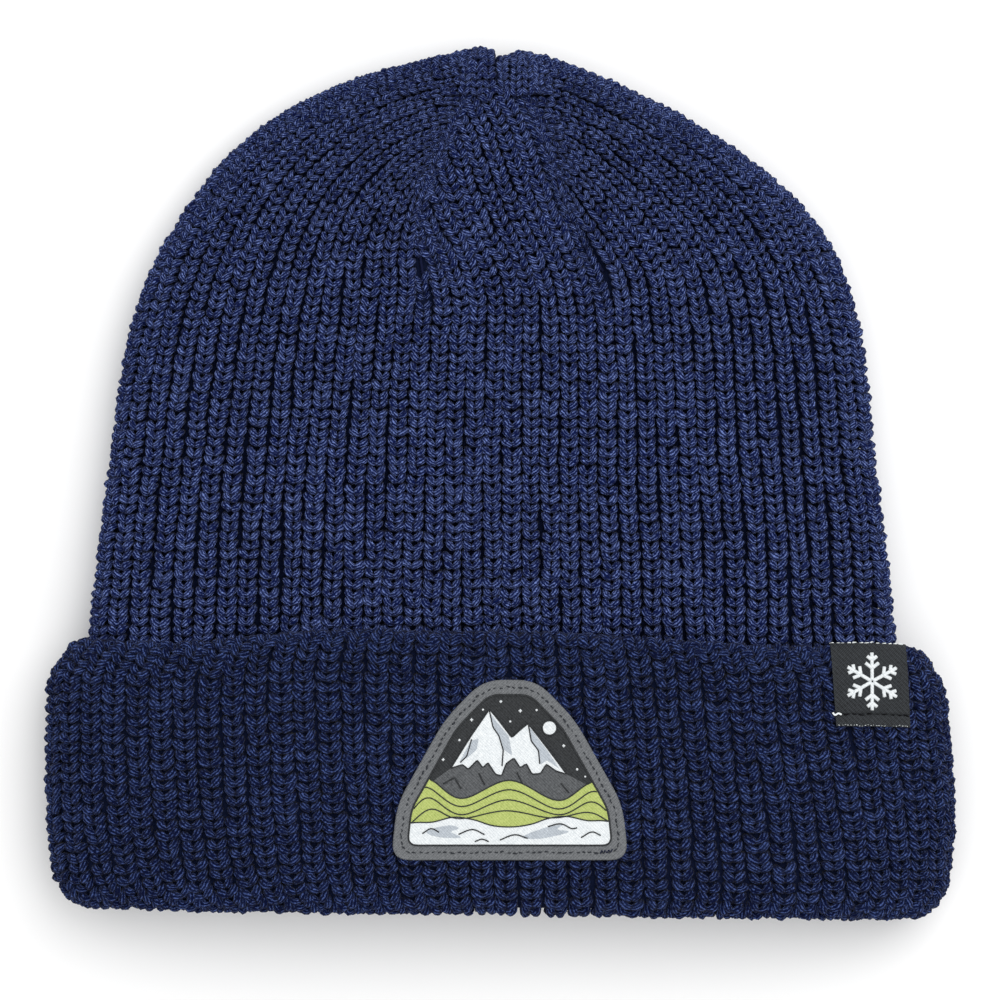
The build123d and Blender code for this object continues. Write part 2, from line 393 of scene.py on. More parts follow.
def unit(rows: Array) -> Array:
    """Rows of numbers as directions of length one."""
    return rows / np.maximum(np.linalg.norm(rows, axis=1), TINY)[:, None]


def soft_step(value: Array, low: float, high: float) -> Array:
    """Nothing below low, one above high, smooth between."""
    share = np.clip((value - low) / (high - low), 0.0, 1.0)
    return share * share * (3 - 2 * share)


def turned_left(rows: Array) -> Array:
    """Plan directions turned a quarter to the left."""
    return columns(-rows[:, 1], rows[:, 0])


def rounded(corners: Sequence[Pair], radius: float, steps: int = 6) -> Array:
    """A closed outline with its corners rounded.

    Args:
        corners: The outline's corners in order.
        radius: How far from a corner its rounding starts, at most.
        steps: How many points a rounding takes.

    Returns:
        The outline's points.
    """
    points = np.array(corners, float)
    made = []
    for index, corner in enumerate(points):
        before = points[index - 1] - corner
        after = points[(index + 1) % len(points)] - corner
        reach = min(radius, 0.45 * np.linalg.norm(before), 0.45 * np.linalg.norm(after))
        start = corner + before / np.linalg.norm(before) * reach
        end = corner + after / np.linalg.norm(after) * reach
        for t in np.linspace(0.0, 1.0, steps):
            made.append((1 - t) ** 2 * start + 2 * t * (1 - t) * corner + t**2 * end)
    return np.array(made)


def curved(corners: Sequence[Pair], loops: bool, steps: int = 8) -> Array:
    """A smooth line through corners (Catmull-Rom).

    Args:
        corners: The points it passes through.
        loops: Whether it goes on towards its start.
        steps: How many points each stretch takes.

    Returns:
        The line's points.
    """
    points = np.array(corners, float)
    if loops:
        around = np.vstack([points[-1:], points, points[:2]])
    else:
        around = np.vstack([2 * points[:1] - points[1:2], points, 2 * points[-1:] - points[-2:-1]])
    made = []
    for a, b, c, d in zip(around, around[1:], around[2:], around[3:]):
        for t in np.linspace(0.0, 1.0, steps, endpoint=False):
            bend = (2 * a - 5 * b + 4 * c - d) * t**2 + (3 * b - a - 3 * c + d) * t**3
            made.append(0.5 * (2 * b + (c - a) * t + bend))
    if not loops:
        made.append(points[-1])
    return np.array(made)


def shrunk(outline: Array, depth: float) -> Array:
    """A closed outline moved inwards by a depth, for outlines without tight notches."""
    before, after = np.roll(outline, 1, axis=0), np.roll(outline, -1, axis=0)
    area = np.sum(outline[:, 0] * after[:, 1] - outline[:, 1] * after[:, 0])
    return outline + turned_left(unit(after - before)) * depth * (1.0 if area > 0 else -1.0)


# ---- meshes
def mesh_object(
    name: str, points: Array, faces: Sequence[Sequence[int]], material: Material | None, smooth: bool = True
) -> Object:
    """Makes a mesh object at the origin.

    Args:
        name: The piece's name.
        points: Its points, in metres.
        faces: Its faces as point numbers.
        material: What it is made of.
        smooth: Whether its faces are shaded smooth.

    Returns:
        The object, linked to the scene.
    """
    mesh = bpy.data.meshes.new(name)
    mesh.from_pydata([tuple(p) for p in np.asarray(points, float)], [], [tuple(f) for f in faces])
    mesh.validate()
    if smooth:
        mesh.shade_smooth()
    if material is not None:
        mesh.materials.append(material)
    made = bpy.data.objects.new(name, mesh)
    bpy.context.scene.collection.objects.link(made)
    return made


def outwards(obj: Object) -> None:
    """Turns a closed mesh's faces to point out of it."""
    work = bmesh.new()
    work.from_mesh(obj.data)
    bmesh.ops.recalc_face_normals(work, faces=work.faces)
    work.to_mesh(obj.data)
    work.free()


def ring_faces(rows: int, across: int, loops: bool) -> list[tuple[int, ...]]:
    """The faces of a skin over rings of points.

    Args:
        rows: How many rings.
        across: How many points in a ring.
        loops: Whether the last ring joins the first; if not, a face closes each end.

    Returns:
        The faces.
    """
    faces = []
    for r in range(rows if loops else rows - 1):
        for c in range(across):
            r2, c2 = (r + 1) % rows, (c + 1) % across
            faces.append((r * across + c, r * across + c2, r2 * across + c2, r2 * across + c))
    if not loops:
        faces += [tuple(range(across)), tuple(range((rows - 1) * across, rows * across))]
    return faces


def rings_round(line: Array, wide: Array, deep: Array, sides: int) -> Array:
    """Rings of points round a line.

    Args:
        line: The line's points.
        wide: How far the rings reach to each side.
        deep: How far they reach up and down.
        sides: How many points a ring has.

    Returns:
        The points, ring by ring.
    """
    ahead = unit(np.gradient(line, axis=0))
    side = unit(np.cross(ahead, (0.0, 0.0, 1.0)))
    over = np.cross(side, ahead)
    turn = np.linspace(0.0, 2 * math.pi, sides, endpoint=False)[None, :, None]
    aside = side[:, None] * np.cos(turn) * wide[:, None, None]
    upwards = over[:, None] * np.sin(turn) * deep[:, None, None]
    return (line[:, None] + aside + upwards).reshape(-1, 3)


def map_yarn(made: Object, rings: int, sides: int, turns: float = 1.0) -> None:
    """Gives tubes their yarn map, along them and round them, and turns their faces outwards.

    Args:
        made: One or more tubes as one object, ring by ring.
        rings: How many rings each has.
        sides: How many points a ring has.
        turns: How far the map runs along a tube.
    """
    layer = made.data.uv_layers.new(name="yarn")
    for face in made.data.polygons:
        spots = [made.data.loops[i].vertex_index for i in face.loop_indices]
        spokes = [spot % sides for spot in spots]
        wraps = len(spots) == 4 and max(spokes) - min(spokes) > sides / 2
        for index, spot, spoke in zip(face.loop_indices, spots, spokes):
            around = sides if wraps and spoke == 0 else spoke
            layer.data[index].uv = (turns * (spot // sides % rings) / (rings - 1), around / sides)
    outwards(made)


def tube(
    name: str, line: Array, radius: Array, sides: int, material: Material | None, turns: float = 1.0
) -> Object:
    """A closed round tube along a line, with its yarn map.

    Args:
        name: The piece's name.
        line: The line, in millimetres.
        radius: The radius at each of its points, in millimetres.
        sides: How many sides it has.
        material: What it is made of.
        turns: How far the yarn map runs along it.

    Returns:
        The object.
    """
    points = rings_round(line, radius, radius, sides)
    made = mesh_object(name, points * MM, ring_faces(len(line), sides, False), material)
    map_yarn(made, len(line), sides, turns)
    return made


def skin(name: str, rings: Sequence[Array], material: Material, loops: bool) -> Object:
    """A closed mesh over rings of points, riding on the hat.

    Args:
        name: The piece's name.
        rings: The rings, in millimetres.
        material: What it is made of.
        loops: Whether the last ring joins the first; if not, a face closes each end.

    Returns:
        The object.
    """
    faces = ring_faces(len(rings), len(rings[0]), loops)
    made = mesh_object(name, np.vstack(rings) * MM, faces, material)
    outwards(made)
    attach(made, ROOT)
    return made


def joined(name: str, parts: Sequence[Object]) -> Object:
    """Several objects as one piece, riding on the hat."""
    with bpy.context.temp_override(active_object=parts[0], selected_editable_objects=list(parts)):
        bpy.ops.object.join()
    parts[0].name = name
    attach(parts[0], ROOT)
    return parts[0]


# ---- reading the frame
def stored(items: Any, key: str, width: int, kind: type = float) -> Array:
    """What a mesh stores for its points or edges, one row each."""
    values = np.empty(len(items) * width, kind)
    items.foreach_get(key, values)
    return values.reshape(-1, width)


class Slices:
    """Cross-sections of a CAD node by upright planes along Y."""

    def __init__(self, node: Object) -> None:
        """Reads the node's points and edges."""
        self.points = stored(node.data.vertices, "co", 3)
        self.edges = stored(node.data.edges, "vertices", 2, int)

    def at(self, y: float) -> tuple[float, float, float, float]:
        """The section's lowest and highest X, then its lowest and highest Z, at y."""
        a = self.points[self.edges[:, 0]]
        b = self.points[self.edges[:, 1]]
        crossing = (a[:, 1] - y) * (b[:, 1] - y) <= 0
        a, b = a[crossing], b[crossing]
        run = b[:, 1] - a[:, 1]
        share = np.where(np.abs(run) > TINY, (y - a[:, 1]) / np.where(run == 0, 1, run), 0.5)
        cut = a + (b - a) * np.clip(share, 0, 1)[:, None]
        return cut[:, 0].min(), cut[:, 0].max(), cut[:, 2].min(), cut[:, 2].max()

    def reach_y(self) -> Pair:
        """The node's lowest and highest Y."""
        return float(self.points[:, 1].min()), float(self.points[:, 1].max())


def across_shares(count: int) -> Array:
    """Shares of the half width from the left fold to the right one, closest at the folds."""
    q = -np.cos(np.linspace(0.0, math.pi, count))
    return np.sign(q) * (1 - (1 - np.abs(q)) ** 1.6)


@dataclass(frozen=True)
class RingShape:
    """How one section of the flattened tube is rounded: flat foot, folded sides, full dome."""

    side_height: float = 0.42
    foot_in: float = 0.40
    foot_limit: float = 0.5
    dome_power: float = 0.375

    def height(self, face: Face, q: Array, half_width: Array, low: Array, high: Array) -> Array:
        """A face's height.

        Args:
            face: Which side of the hat.
            q: The share of the half width from the middle.
            half_width: Half the section's width.
            low: Its underside.
            high: Its top.

        Returns:
            The heights.
        """
        side = low + (high - low) * self.side_height
        if face is Face.FRONT:
            return side + (high - side) * np.clip(1 - np.abs(q) ** 4, 0, 1) ** self.dome_power
        foot = np.minimum((high - low) * self.foot_in, half_width * self.foot_limit)
        reach = np.clip((np.abs(q) * half_width - (half_width - foot)) / foot, 0, 1)
        return side - (side - low) * np.sqrt(1 - reach**2)

    def loop(self, half_width: float, shift: float, low: float, high: float, count: int) -> Array:
        """A whole ring as (X, Z): from the left fold over the front, then round the back.

        Args:
            half_width: Half the ring's width.
            shift: Its sideways shift.
            low: Its underside.
            high: Its top.
            count: How many points, half of them on each face.

        Returns:
            The points, evenly spaced along each face.
        """
        q = across_shares(241)
        halves = []
        for face in Face:
            z = self.height(face, q, half_width, low, high)
            line = columns(shift + q * half_width, z)[:: face.value]
            halves.append(spread_out(line, count // 2, False))
        return np.vstack(halves)


# ---- the stitch
@dataclass(frozen=True)
class StitchTemplate:
    """One knit stitch: two plump yarn legs that meet low in the middle, in millimetres."""

    pitch: float = 5.0
    course: float = 2.34
    inner_x: float = 0.18
    outer_x: float = 1.60
    foot_y: float = -1.28
    head_y: float = 0.88
    lift: float = 0.34
    rise: float = 0.84
    sag: float = 1.35
    thick: float = 0.97
    deep: float = 0.80
    sides: int = 8
    rings: int = 7

    def centre(self, t: Array) -> Array:
        """The right leg's centre line at shares t of its length."""
        x = self.inner_x + (self.outer_x - self.inner_x) * np.sin(t * math.pi / 2)
        y = self.foot_y + (self.head_y - self.foot_y) * (0.80 * t + 0.20 * t**3)
        z = self.lift + self.rise * np.sin(math.pi * t * 0.85) - self.sag * t**4
        return columns(x, y, z)

    def build(self, name: str) -> Object:
        """The stitch's mesh, its left leg mirrored from the right one."""
        t = np.linspace(0, 1, self.rings)
        swell = np.sin(math.pi * (0.13 + 0.72 * t)) ** 0.4
        right = rings_round(self.centre(t), self.thick * swell, self.deep * swell, self.sides)
        faces = ring_faces(self.rings, self.sides, False)
        faces += [tuple(i + len(right) for i in face) for face in faces]
        points = np.vstack([right, right * (-1.0, 1.0, 1.0)])
        made = mesh_object(name, points * MM, faces, None)
        map_yarn(made, self.rings, self.sides)
        return made


@dataclass(frozen=True)
class ThreadStitch:
    """One short sewing stitch: a bowed bit of thread along Y, in millimetres."""

    length: float
    radius: float
    bow: float
    sides: int = 6
    rings: int = 6

    def build(self, name: str) -> Object:
        """The stitch's mesh."""
        t = np.linspace(0.0, 1.0, self.rings)
        line = columns(np.zeros(len(t)), (t - 0.5) * self.length, self.bow * np.sin(math.pi * t))
        swell = np.sin(math.pi * (0.14 + 0.72 * t)) ** 0.5
        return tube(name, line, self.radius * swell, self.sides, None)


@dataclass
class StitchRun:
    """Places for stitches: where each sits, which way it runs and faces, and how big it is."""

    rows: list[tuple[Array, Array, Array, Array]] = field(default_factory=list)

    def add(self, places: Array, along: Array, out: Array, size: Array | None = None) -> None:
        """Adds a row of stitches.

        Args:
            places: Where they sit, in millimetres.
            along: Which way they run.
            out: Which way they face.
            size: How big they are each way; as modelled if it isn't given.
        """
        self.rows.append((places * MM, along, out, np.ones((len(places), 3)) if size is None else size))

    def joined(self) -> tuple[Array, ...]:
        """All rows as one set of arrays, the places in metres."""
        return tuple(np.vstack(part) for part in zip(*self.rows))


@dataclass(frozen=True)
class Jitter:
    """How unevenly the stitches lie."""

    tilt: float = 0.16
    shift: float = 0.15 * MM
    growth: float = 0.11
    rough: float = 0.8 * MM
    rough_scale: float = 900.0
    clear: float = 0.03 * MM
    seed: int = 7


class StitchLayer:
    """Lays stitches on a run of places with Geometry Nodes and keeps the plain mesh."""

    INPUTS: tuple[tuple[str, str], ...] = (
        ("Stitch", "Object"),
        ("Tilt", "Float"),
        ("Shift", "Float"),
        ("Growth", "Float"),
        ("Rough", "Float"),
        ("Seed", "Int"),
        ("Yarn", "Material"),
    )

    def __init__(self, jitter: Jitter) -> None:
        """Builds the node tree once, for stitches that lie this unevenly."""
        self.jitter = jitter
        self.tree = self._tree()

    def _tree(self) -> bpy.types.NodeTree:
        """The nodes: instance on points, vary, realize, roughen, paint."""
        net = Net(bpy.data.node_groups.new("lay_stitches", "GeometryNodeTree"))
        face = net.tree.interface
        for name, kind in (("Geometry", "Geometry"), *self.INPUTS):
            face.new_socket(name, in_out="INPUT", socket_type="NodeSocket" + kind)
        face.new_socket("Geometry", in_out="OUTPUT", socket_type="NodeSocketGeometry")
        sockets = net.node("NodeGroupInput", {}, {}).socket.node.outputs
        given = {socket.name: Expr(net, socket) for socket in sockets if socket.name}

        def named(name: str) -> Expr:
            """A vector stored on the points."""
            return net.node("GeometryNodeInputNamedAttribute", {"data_type": "FLOAT_VECTOR"}, {"Name": name})

        def seed(offset: int) -> Expr:
            """The seed, moved on so that no two draws are alike."""
            return net.node("FunctionNodeIntegerMath", {"operation": "ADD"}, {0: given["Seed"], 1: offset})

        def spread(amount: Expr, offset: int) -> Expr:
            """A random vector between minus and plus an amount."""
            limits = {0: (-1.0, -1.0, -1.0), 1: (1.0, 1.0, 1.0), "Seed": seed(offset)}
            chance = net.node("FunctionNodeRandomValue", {"data_type": "FLOAT_VECTOR"}, limits)
            return net.vector_math("SCALE", {0: chance, "Scale": amount})

        stitch = net.node("GeometryNodeObjectInfo", {}, {"Object": given["Stitch"]}, "Geometry")
        axes = {"primary_axis": "Z", "secondary_axis": "Y"}
        facing = net.node("FunctionNodeAxesToRotation", axes, {0: named("out"), 1: named("along")})
        growth = net.vector_math("ADD", {0: spread(given["Growth"], 11), 1: (1.0, 1.0, 1.0)})
        scale = net.vector_math("MULTIPLY", {0: named("size"), 1: growth})
        placed = {"Points": given["Geometry"], "Instance": stitch, "Rotation": facing, "Scale": scale}
        laid = net.node("GeometryNodeInstanceOnPoints", {}, placed)
        turn = {"Instances": laid, "Rotation": spread(given["Tilt"], 23)}
        turned = net.node("GeometryNodeRotateInstances", {}, turn)
        slide = {"Instances": turned, "Translation": spread(given["Shift"], 37)}
        slid = net.node("GeometryNodeTranslateInstances", {}, slide)
        chance = net.node("FunctionNodeRandomValue", {"data_type": "FLOAT"}, {"Seed": seed(53)}, 1)
        shaded = net.node(
            "GeometryNodeStoreNamedAttribute",
            {"data_type": "FLOAT", "domain": "INSTANCE"},
            {"Geometry": slid, "Name": "shade", "Value": chance},
        )
        real = net.node("GeometryNodeRealizeInstances", {}, {0: shaded})
        fuzz = {"Scale": self.jitter.rough_scale, "Detail": 1.0}
        noise = net.node("ShaderNodeTexNoise", {}, fuzz, "Color")
        centred = net.vector_math("SUBTRACT", {0: noise, 1: (0.5, 0.5, 0.5)})
        offset = net.vector_math("SCALE", {0: centred, "Scale": given["Rough"]})
        rough = net.node("GeometryNodeSetPosition", {}, {"Geometry": real, "Offset": offset})
        painted = net.node("GeometryNodeSetMaterial", {}, {"Geometry": rough, "Material": given["Yarn"]})
        end = net.tree.nodes.new("NodeGroupOutput")
        net.tree.links.new(painted.socket, end.inputs[0])
        return net.tree

    def pressed(self, mesh: bpy.types.Mesh) -> None:
        """Flattens what would lie below the table the hat rests on."""
        points = stored(mesh.vertices, "co", 3, np.float32)
        points[:, 2] = np.maximum(points[:, 2], self.jitter.clear)
        mesh.vertices.foreach_set("co", points.ravel())

    def _carrier(self, run: dict[str, Array], values: dict[str, Any]) -> Object:
        """Points that carry one piece's stitches, with the nodes set on them."""
        mesh = bpy.data.meshes.new("stitch_points")
        mesh.from_pydata([tuple(p) for p in run.pop("place")], [], [])
        for key, rows in run.items():
            layer = mesh.attributes.new(key, "FLOAT_VECTOR", "POINT")
            layer.data.foreach_set("vector", np.ascontiguousarray(rows, np.float32).ravel())
        carrier = bpy.data.objects.new("stitch_carrier", mesh)
        bpy.context.scene.collection.objects.link(carrier)
        modifier = carrier.modifiers.new("stitches", "NODES")
        modifier.node_group = self.tree
        for item in self.tree.interface.items_tree:
            if item.in_out == "INPUT" and item.name in values:
                modifier[item.identifier] = values[item.name]
        return carrier

    def lay(
        self, name: str, run: StitchRun, template: StitchTemplate | ThreadStitch, yarn: Material,
        most: int = 190_000,
    ) -> list[Object]:
        """Lays a run of stitches as one or more plain pieces.

        Args:
            name: The pieces' shared name.
            run: Where the stitches go.
            template: The stitch to lay.
            yarn: Its material.
            most: The most triangles in one piece.

        Returns:
            The pieces.
        """
        rows = dict(zip(("place", "along", "out", "size"), run.joined()))
        order = np.argsort(rows["place"][:, 1], kind="stable")
        stitch = template.build(name + "_template")
        triangles = sum(len(face.vertices) - 2 for face in stitch.data.polygons)
        parts = math.ceil(len(order) / (most // triangles))
        # The tree's inputs are named for the jitter's fields.
        values = {key.title(): value for key, value in asdict(self.jitter).items()}
        values |= {"Stitch": stitch, "Yarn": yarn}
        made = []
        for index, chosen in enumerate(np.array_split(order, parts)):
            values["Seed"] = self.jitter.seed + index * 101
            carrier = self._carrier({key: part[chosen] for key, part in rows.items()}, values)
            graph = bpy.context.evaluated_depsgraph_get()
            plain = bpy.data.meshes.new_from_object(
                carrier.evaluated_get(graph), preserve_all_data_layers=True, depsgraph=graph
            )
            carrier.modifiers.clear()
            bpy.data.objects.remove(carrier)
            self.pressed(plain)
            plain.shade_smooth()
            piece = bpy.data.objects.new(f"{name}_{index + 1}" if parts > 1 else name, plain)
            bpy.context.scene.collection.objects.link(piece)
            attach(piece, ROOT)
            made.append(piece)
        bpy.data.objects.remove(stitch)
        return made


# ---- knit surfaces, in millimetres
class Profile:
    """The sections of one layer of the knit tube along Y, in millimetres."""

    def __init__(self, node: Object, step: float = 1.0, margin: float = 0.2) -> None:
        """Reads sections of a CAD node a step apart, with a margin at both ends."""
        slices = Slices(node)
        start, end = (y / MM for y in slices.reach_y())
        self.ys = np.arange(start + margin, end - margin, step)
        rows = np.array([slices.at(y * MM) for y in self.ys]) / MM
        left, right, low, high = rows.T
        self.rows = columns((right - left) / 2, (right + left) / 2, low, high)

    def close(self, y: float, half_width: float) -> None:
        """Adds a tip at y, of a half width, where front and back meet."""
        _, shift, low, high = self.rows[-1]
        middle = (low + high) / 2
        self.ys = np.append(self.ys, y)
        self.rows = np.vstack([self.rows, [half_width, shift, middle - half_width, middle + half_width]])

    def at(self, y: Array) -> tuple[Array, Array, Array, Array]:
        """Half width, shift, underside and top at y."""
        return tuple(np.interp(y, self.ys, self.rows[:, i]) for i in range(4))

    def share(self, x: Array, y: Array) -> Array:
        """The share of the half width that (x, y) lies from the middle."""
        half_width, shift, _, _ = self.at(y)
        return np.clip((x - shift) / half_width, -1.0, 1.0)


class SeamLine:
    """Where a crown seam runs, read from its thread in the CAD, in millimetres."""

    def __init__(self, node: Object, spots: int = 28) -> None:
        """Reads the middle of a thread's node at a number of heights."""
        slices = Slices(node)
        start, end = slices.reach_y()
        inside = 0.04 * (end - start)
        ys = np.linspace(start + inside, end - inside, spots)
        self.ys = ys / MM
        self.xs = np.array([sum(slices.at(y)[:2]) / 2 for y in ys]) / MM

    def close(self, x: float, y: float) -> None:
        """Carries the seam on to the crown's tip."""
        self.xs = np.append(self.xs, x)
        self.ys = np.append(self.ys, y)

    def x(self, y: Array) -> Array:
        """The seam's X at y."""
        return np.interp(y, self.ys, self.xs)

    @property
    def foot(self) -> Pair:
        """Where the seam starts, as (X, Y)."""
        return float(self.xs[0]), float(self.ys[0])


@dataclass
class Rib:
    """One rib's line on the knit: points, outward directions and how wide it is there."""

    points: Array
    out: Array
    width: Array

    def cut(self, keep: Array) -> "Rib":
        """The rib as far as the first point that isn't kept."""
        lost = np.flatnonzero(~keep)
        end = int(lost[0]) if len(lost) else len(keep)
        return Rib(self.points[:end], self.out[:end], self.width[:end])

    def eased(self, reach: int) -> "Rib":
        """The rib with its kinks taken out over some points each way."""
        if len(self.points) <= 2 * reach + 1:
            return self
        kernel = np.ones(2 * reach + 1) / (2 * reach + 1)

        def ease(values: Array) -> Array:
            """A moving mean that keeps both ends."""
            first = 2 * values[0] - values[reach:0:-1]
            last = 2 * values[-1] - values[-2 : -2 - reach : -1]
            columns = np.vstack([first, values, last]).T
            return np.column_stack([np.convolve(column, kernel, "valid") for column in columns])

        return Rib(ease(self.points), unit(ease(self.out)), ease(self.width[:, None])[:, 0])


@dataclass
class Rows:
    """Where ribs cross rows of the knit: one list entry for each row."""

    places: list[Array] = field(default_factory=list)
    across: list[Array] = field(default_factory=list)
    lengths: list[float] = field(default_factory=list)
    nudge: float = 0.4

    def add(self, line: Array, shares: Array) -> None:
        """Adds a row.

        Args:
            line: The row's points, from the left.
            shares: Where the ribs cross it, by share of its length.
        """
        run = path_length(line)
        spots = shares * run[-1]
        self.places.append(at_lengths(line, run, spots))
        ahead, behind = (at_lengths(line, run, spots + way * self.nudge) for way in (1, -1))
        self.across.append(unit(ahead - behind))
        self.lengths.append(float(run[-1]))

    def rib(self, index: int, count: float) -> tuple[Array, Array, Array]:
        """A rib's points, the directions across it and its width, where count ribs share a row."""
        places = np.array([row[index] for row in self.places])
        return places, np.array([row[index] for row in self.across]), np.array(self.lengths) / count


def rib_shares(count: int, face: Face) -> Array:
    """Where ribs lie across a face; the ribs on the two folds belong to the front."""
    inner = 0 if face is Face.FRONT else 1
    return np.arange(inner, count + 1 - inner) / count


@dataclass(frozen=True)
class Crease:
    """A fold line drawn into the body's front, in millimetres."""

    way: Pairs
    depth: float
    width: float

    def sink(self, points: Array) -> Array:
        """How deep points lie because of the crease."""
        line = resampled(curved(self.way, False), 1.0)
        apart = np.linalg.norm(points[:, None, :2] - line[None], axis=2)
        share = apart.argmin(axis=1) / (len(line) - 1)
        fade = soft_step(share, 0.0, 0.18) * (1 - soft_step(share, 0.82, 1.0))
        return self.depth * np.exp(-((apart.min(axis=1) / self.width) ** 2)) * fade


CREASES: tuple[Crease, ...] = (
    Crease(((-21, 39), (-19, 46), (-17.8, 53), (-16.4, 59), (-14, 66)), 3.0, 2.0),
    Crease(((27, 42), (24.5, 49), (21.5, 57), (18, 66)), 2.4, 1.8),
    Crease(((-83, 58), (-75, 70), (-65, 81.5), (-54, 90), (-44.5, 95.5), (-36, 97)), 1.1, 2.0),
    Crease(((84, 60), (76, 70.5), (66, 80), (55, 88), (46, 93)), 0.7, 1.8),
)


@dataclass(frozen=True)
class Puff:
    """One gathered bunch of ribs that rolls over the crown's tip, in millimetres."""

    middle: float
    top: float
    fall: float
    ribs: tuple[float, ...]
    width: float
    lean: float = 0.25
    splay: float = 0.1
    bulge: float = 0.8


PUFFS: tuple[Puff, ...] = (
    Puff(middle=-4.4, top=109.1, fall=0.075, ribs=(-9.2, -5.9, -2.5), width=3.9),
    Puff(middle=0.7, top=106.6, fall=0.0, ribs=(0.7,), width=3.5),
    Puff(middle=6.0, top=107.9, fall=0.095, ribs=(3.9, 7.0, 10.2), width=3.7),
)


@dataclass
class BodySurface:
    """Where the body's ribs run, in millimetres.

    Below the crown each face's ribs share its half ring almost evenly. Above the seams' feet the outer
    gores' ribs fan round a foot and stop at its seam, and the middle gore's ribs lean with its
    right seam and stop at the left one.
    """

    profile: Profile
    seams: dict[Face, dict[Side, SeamLine]]
    shape: RingShape = RingShape()
    ribs: int = 40
    crowding: float = 0.07
    start_y: float = -45.0
    step: float = 1.2
    easing: int = 8
    focus_rise: float = 28.0
    focus_ease: float = 0.8
    fan_bend: float = 2.2
    fan_end: float = 0.995
    past_tip: float = 9.0
    furrow_depth: float = 2.8
    furrow_width: float = 2.6
    overlap: float = 2.4
    dimple: float = 13.0
    seam_sunk: float = 2.2
    seam_width: float = 3.3
    tip_y: float = 109.4
    tip_start: float = 97.0
    tip_raised: float = -0.2

    def height(self, x: Array, y: Array, face: Face) -> Array:
        """The face's height above the table at (x, y)."""
        half_width, _, low, high = self.profile.at(y)
        return self.shape.height(face, self.profile.share(x, y), half_width, low, high)

    def on(self, x: Array, y: Array, face: Face) -> Array:
        """The points of a face at (x, y)."""
        return columns(x, y, self.height(x, y, face))

    def ring_line(self, y: float, face: Face, count: int = 181) -> Array:
        """The face's section at y from the left fold to the right one."""
        half_width, shift, _, _ = self.profile.at(y)
        return self.on(shift + across_shares(count) * half_width, np.full(count, y), face)

    def fan_line(self, corner: Array, focus: Array, face: Face, count: int = 90) -> Array:
        """The face's surface on the way from a point of the fold to a seam's foot."""
        plan = corner + (focus - corner) * np.linspace(0.0, 1.0, count)[:, None] ** self.fan_bend
        return self.on(plan[:, 0], plan[:, 1], face)

    def fold(self, side: Side, start: float) -> Array:
        """The plan line of a fold from a height up to the tip and a little way down beyond."""
        ys = start + (self.tip_y - start) * (1 - (1 - np.linspace(0.0, 1.0, 400)) ** 2)
        half_width, shift, _, _ = self.profile.at(ys)
        line = columns(shift + side.value * half_width, ys)
        beyond = columns(shift - side.value * half_width, ys)[::-1]
        return every(np.vstack([line, beyond[path_length(beyond) < self.past_tip]]), self.step)

    def outwards_of(self, points: Array, across: Array, face: Face) -> Array:
        """The directions out of the knit along a rib, from the directions across it."""
        q = self.profile.share(points[:, 0], points[:, 1])
        upwards = np.full(len(q), 0.4 * face.value)
        rough = columns(np.sign(q) * np.abs(q) ** 6, np.zeros(len(q)), upwards)
        out = unit(np.cross(across, np.gradient(points, axis=0)))
        return out * np.where((out * rough).sum(axis=1) < 0, -1.0, 1.0)[:, None]

    def share_at(self, x: float, y: float, face: Face) -> float:
        """The share of the half ring's length that lies left of x at a height."""
        line = self.ring_line(y, face)
        run = path_length(line)
        return float(np.interp(x, line[:, 0], run) / run[-1])

    def rib_lines(self, face: Face) -> list[Rib]:
        """All ribs of a face.

        Args:
            face: Which side of the hat.

        Returns:
            The ribs, from the left fold to the right one.
        """
        seams = self.seams[face]
        foot_y = (seams[Side.LEFT].foot[1] + seams[Side.RIGHT].foot[1]) / 2
        even = rib_shares(self.ribs, face)
        shares = even + self.crowding * np.sin(2 * math.pi * even) / (2 * math.pi)
        left, right = (self.share_at(seams[side].foot[0], foot_y, face) for side in (Side.LEFT, Side.RIGHT))
        lower = Rows()
        for y in np.arange(self.start_y, foot_y, self.step):
            lower.add(self.ring_line(y, face), shares)
        gores = {Side.LEFT: left, Side.RIGHT: 1 - right}
        fans = {
            Side.LEFT: self._fan(Side.LEFT, foot_y, shares / left, face),
            Side.RIGHT: self._fan(Side.RIGHT, foot_y, (1 - shares) / (1 - right), face),
        }
        made = []
        for k, share in enumerate(shares):
            points, across, width = lower.rib(k, self.ribs)
            if left <= share <= right:
                upper, upper_across, keep = self._leaning(points[-1], seams, face)
                upper_width = np.full(len(upper), width[-1])
            else:
                side = Side.LEFT if share < left else Side.RIGHT
                upper, upper_across, upper_width = fans[side].rib(k, gores[side] * self.ribs)
                keep = self._outside(upper, side, seams[side])
            keep = np.concatenate([np.ones(len(points), bool), keep])
            points = np.vstack([points, upper])
            out = self.outwards_of(points, np.vstack([across, upper_across]), face)
            rib = Rib(points, out, np.concatenate([width, upper_width])).eased(self.easing).cut(keep)
            made.append(self._drawn_in(rib, seams.values(), CREASES if face is Face.FRONT else ()))
        return made

    def seam_ribs(self, face: Face) -> list[Rib]:
        """The short ribs that are drawn together over each seam's thread."""
        made = []
        for seam in self.seams[face].values():
            ys = np.arange(seam.ys[0] + self.dimple * 0.6, seam.ys[-1], self.step)
            out = unit(np.tile((0.0, 0.25, float(face.value)), (len(ys), 1)))
            points = self.on(seam.x(ys), ys, face) - out * self.seam_sunk
            made.append(Rib(points, out, np.full(len(ys), self.seam_width)))
        return made

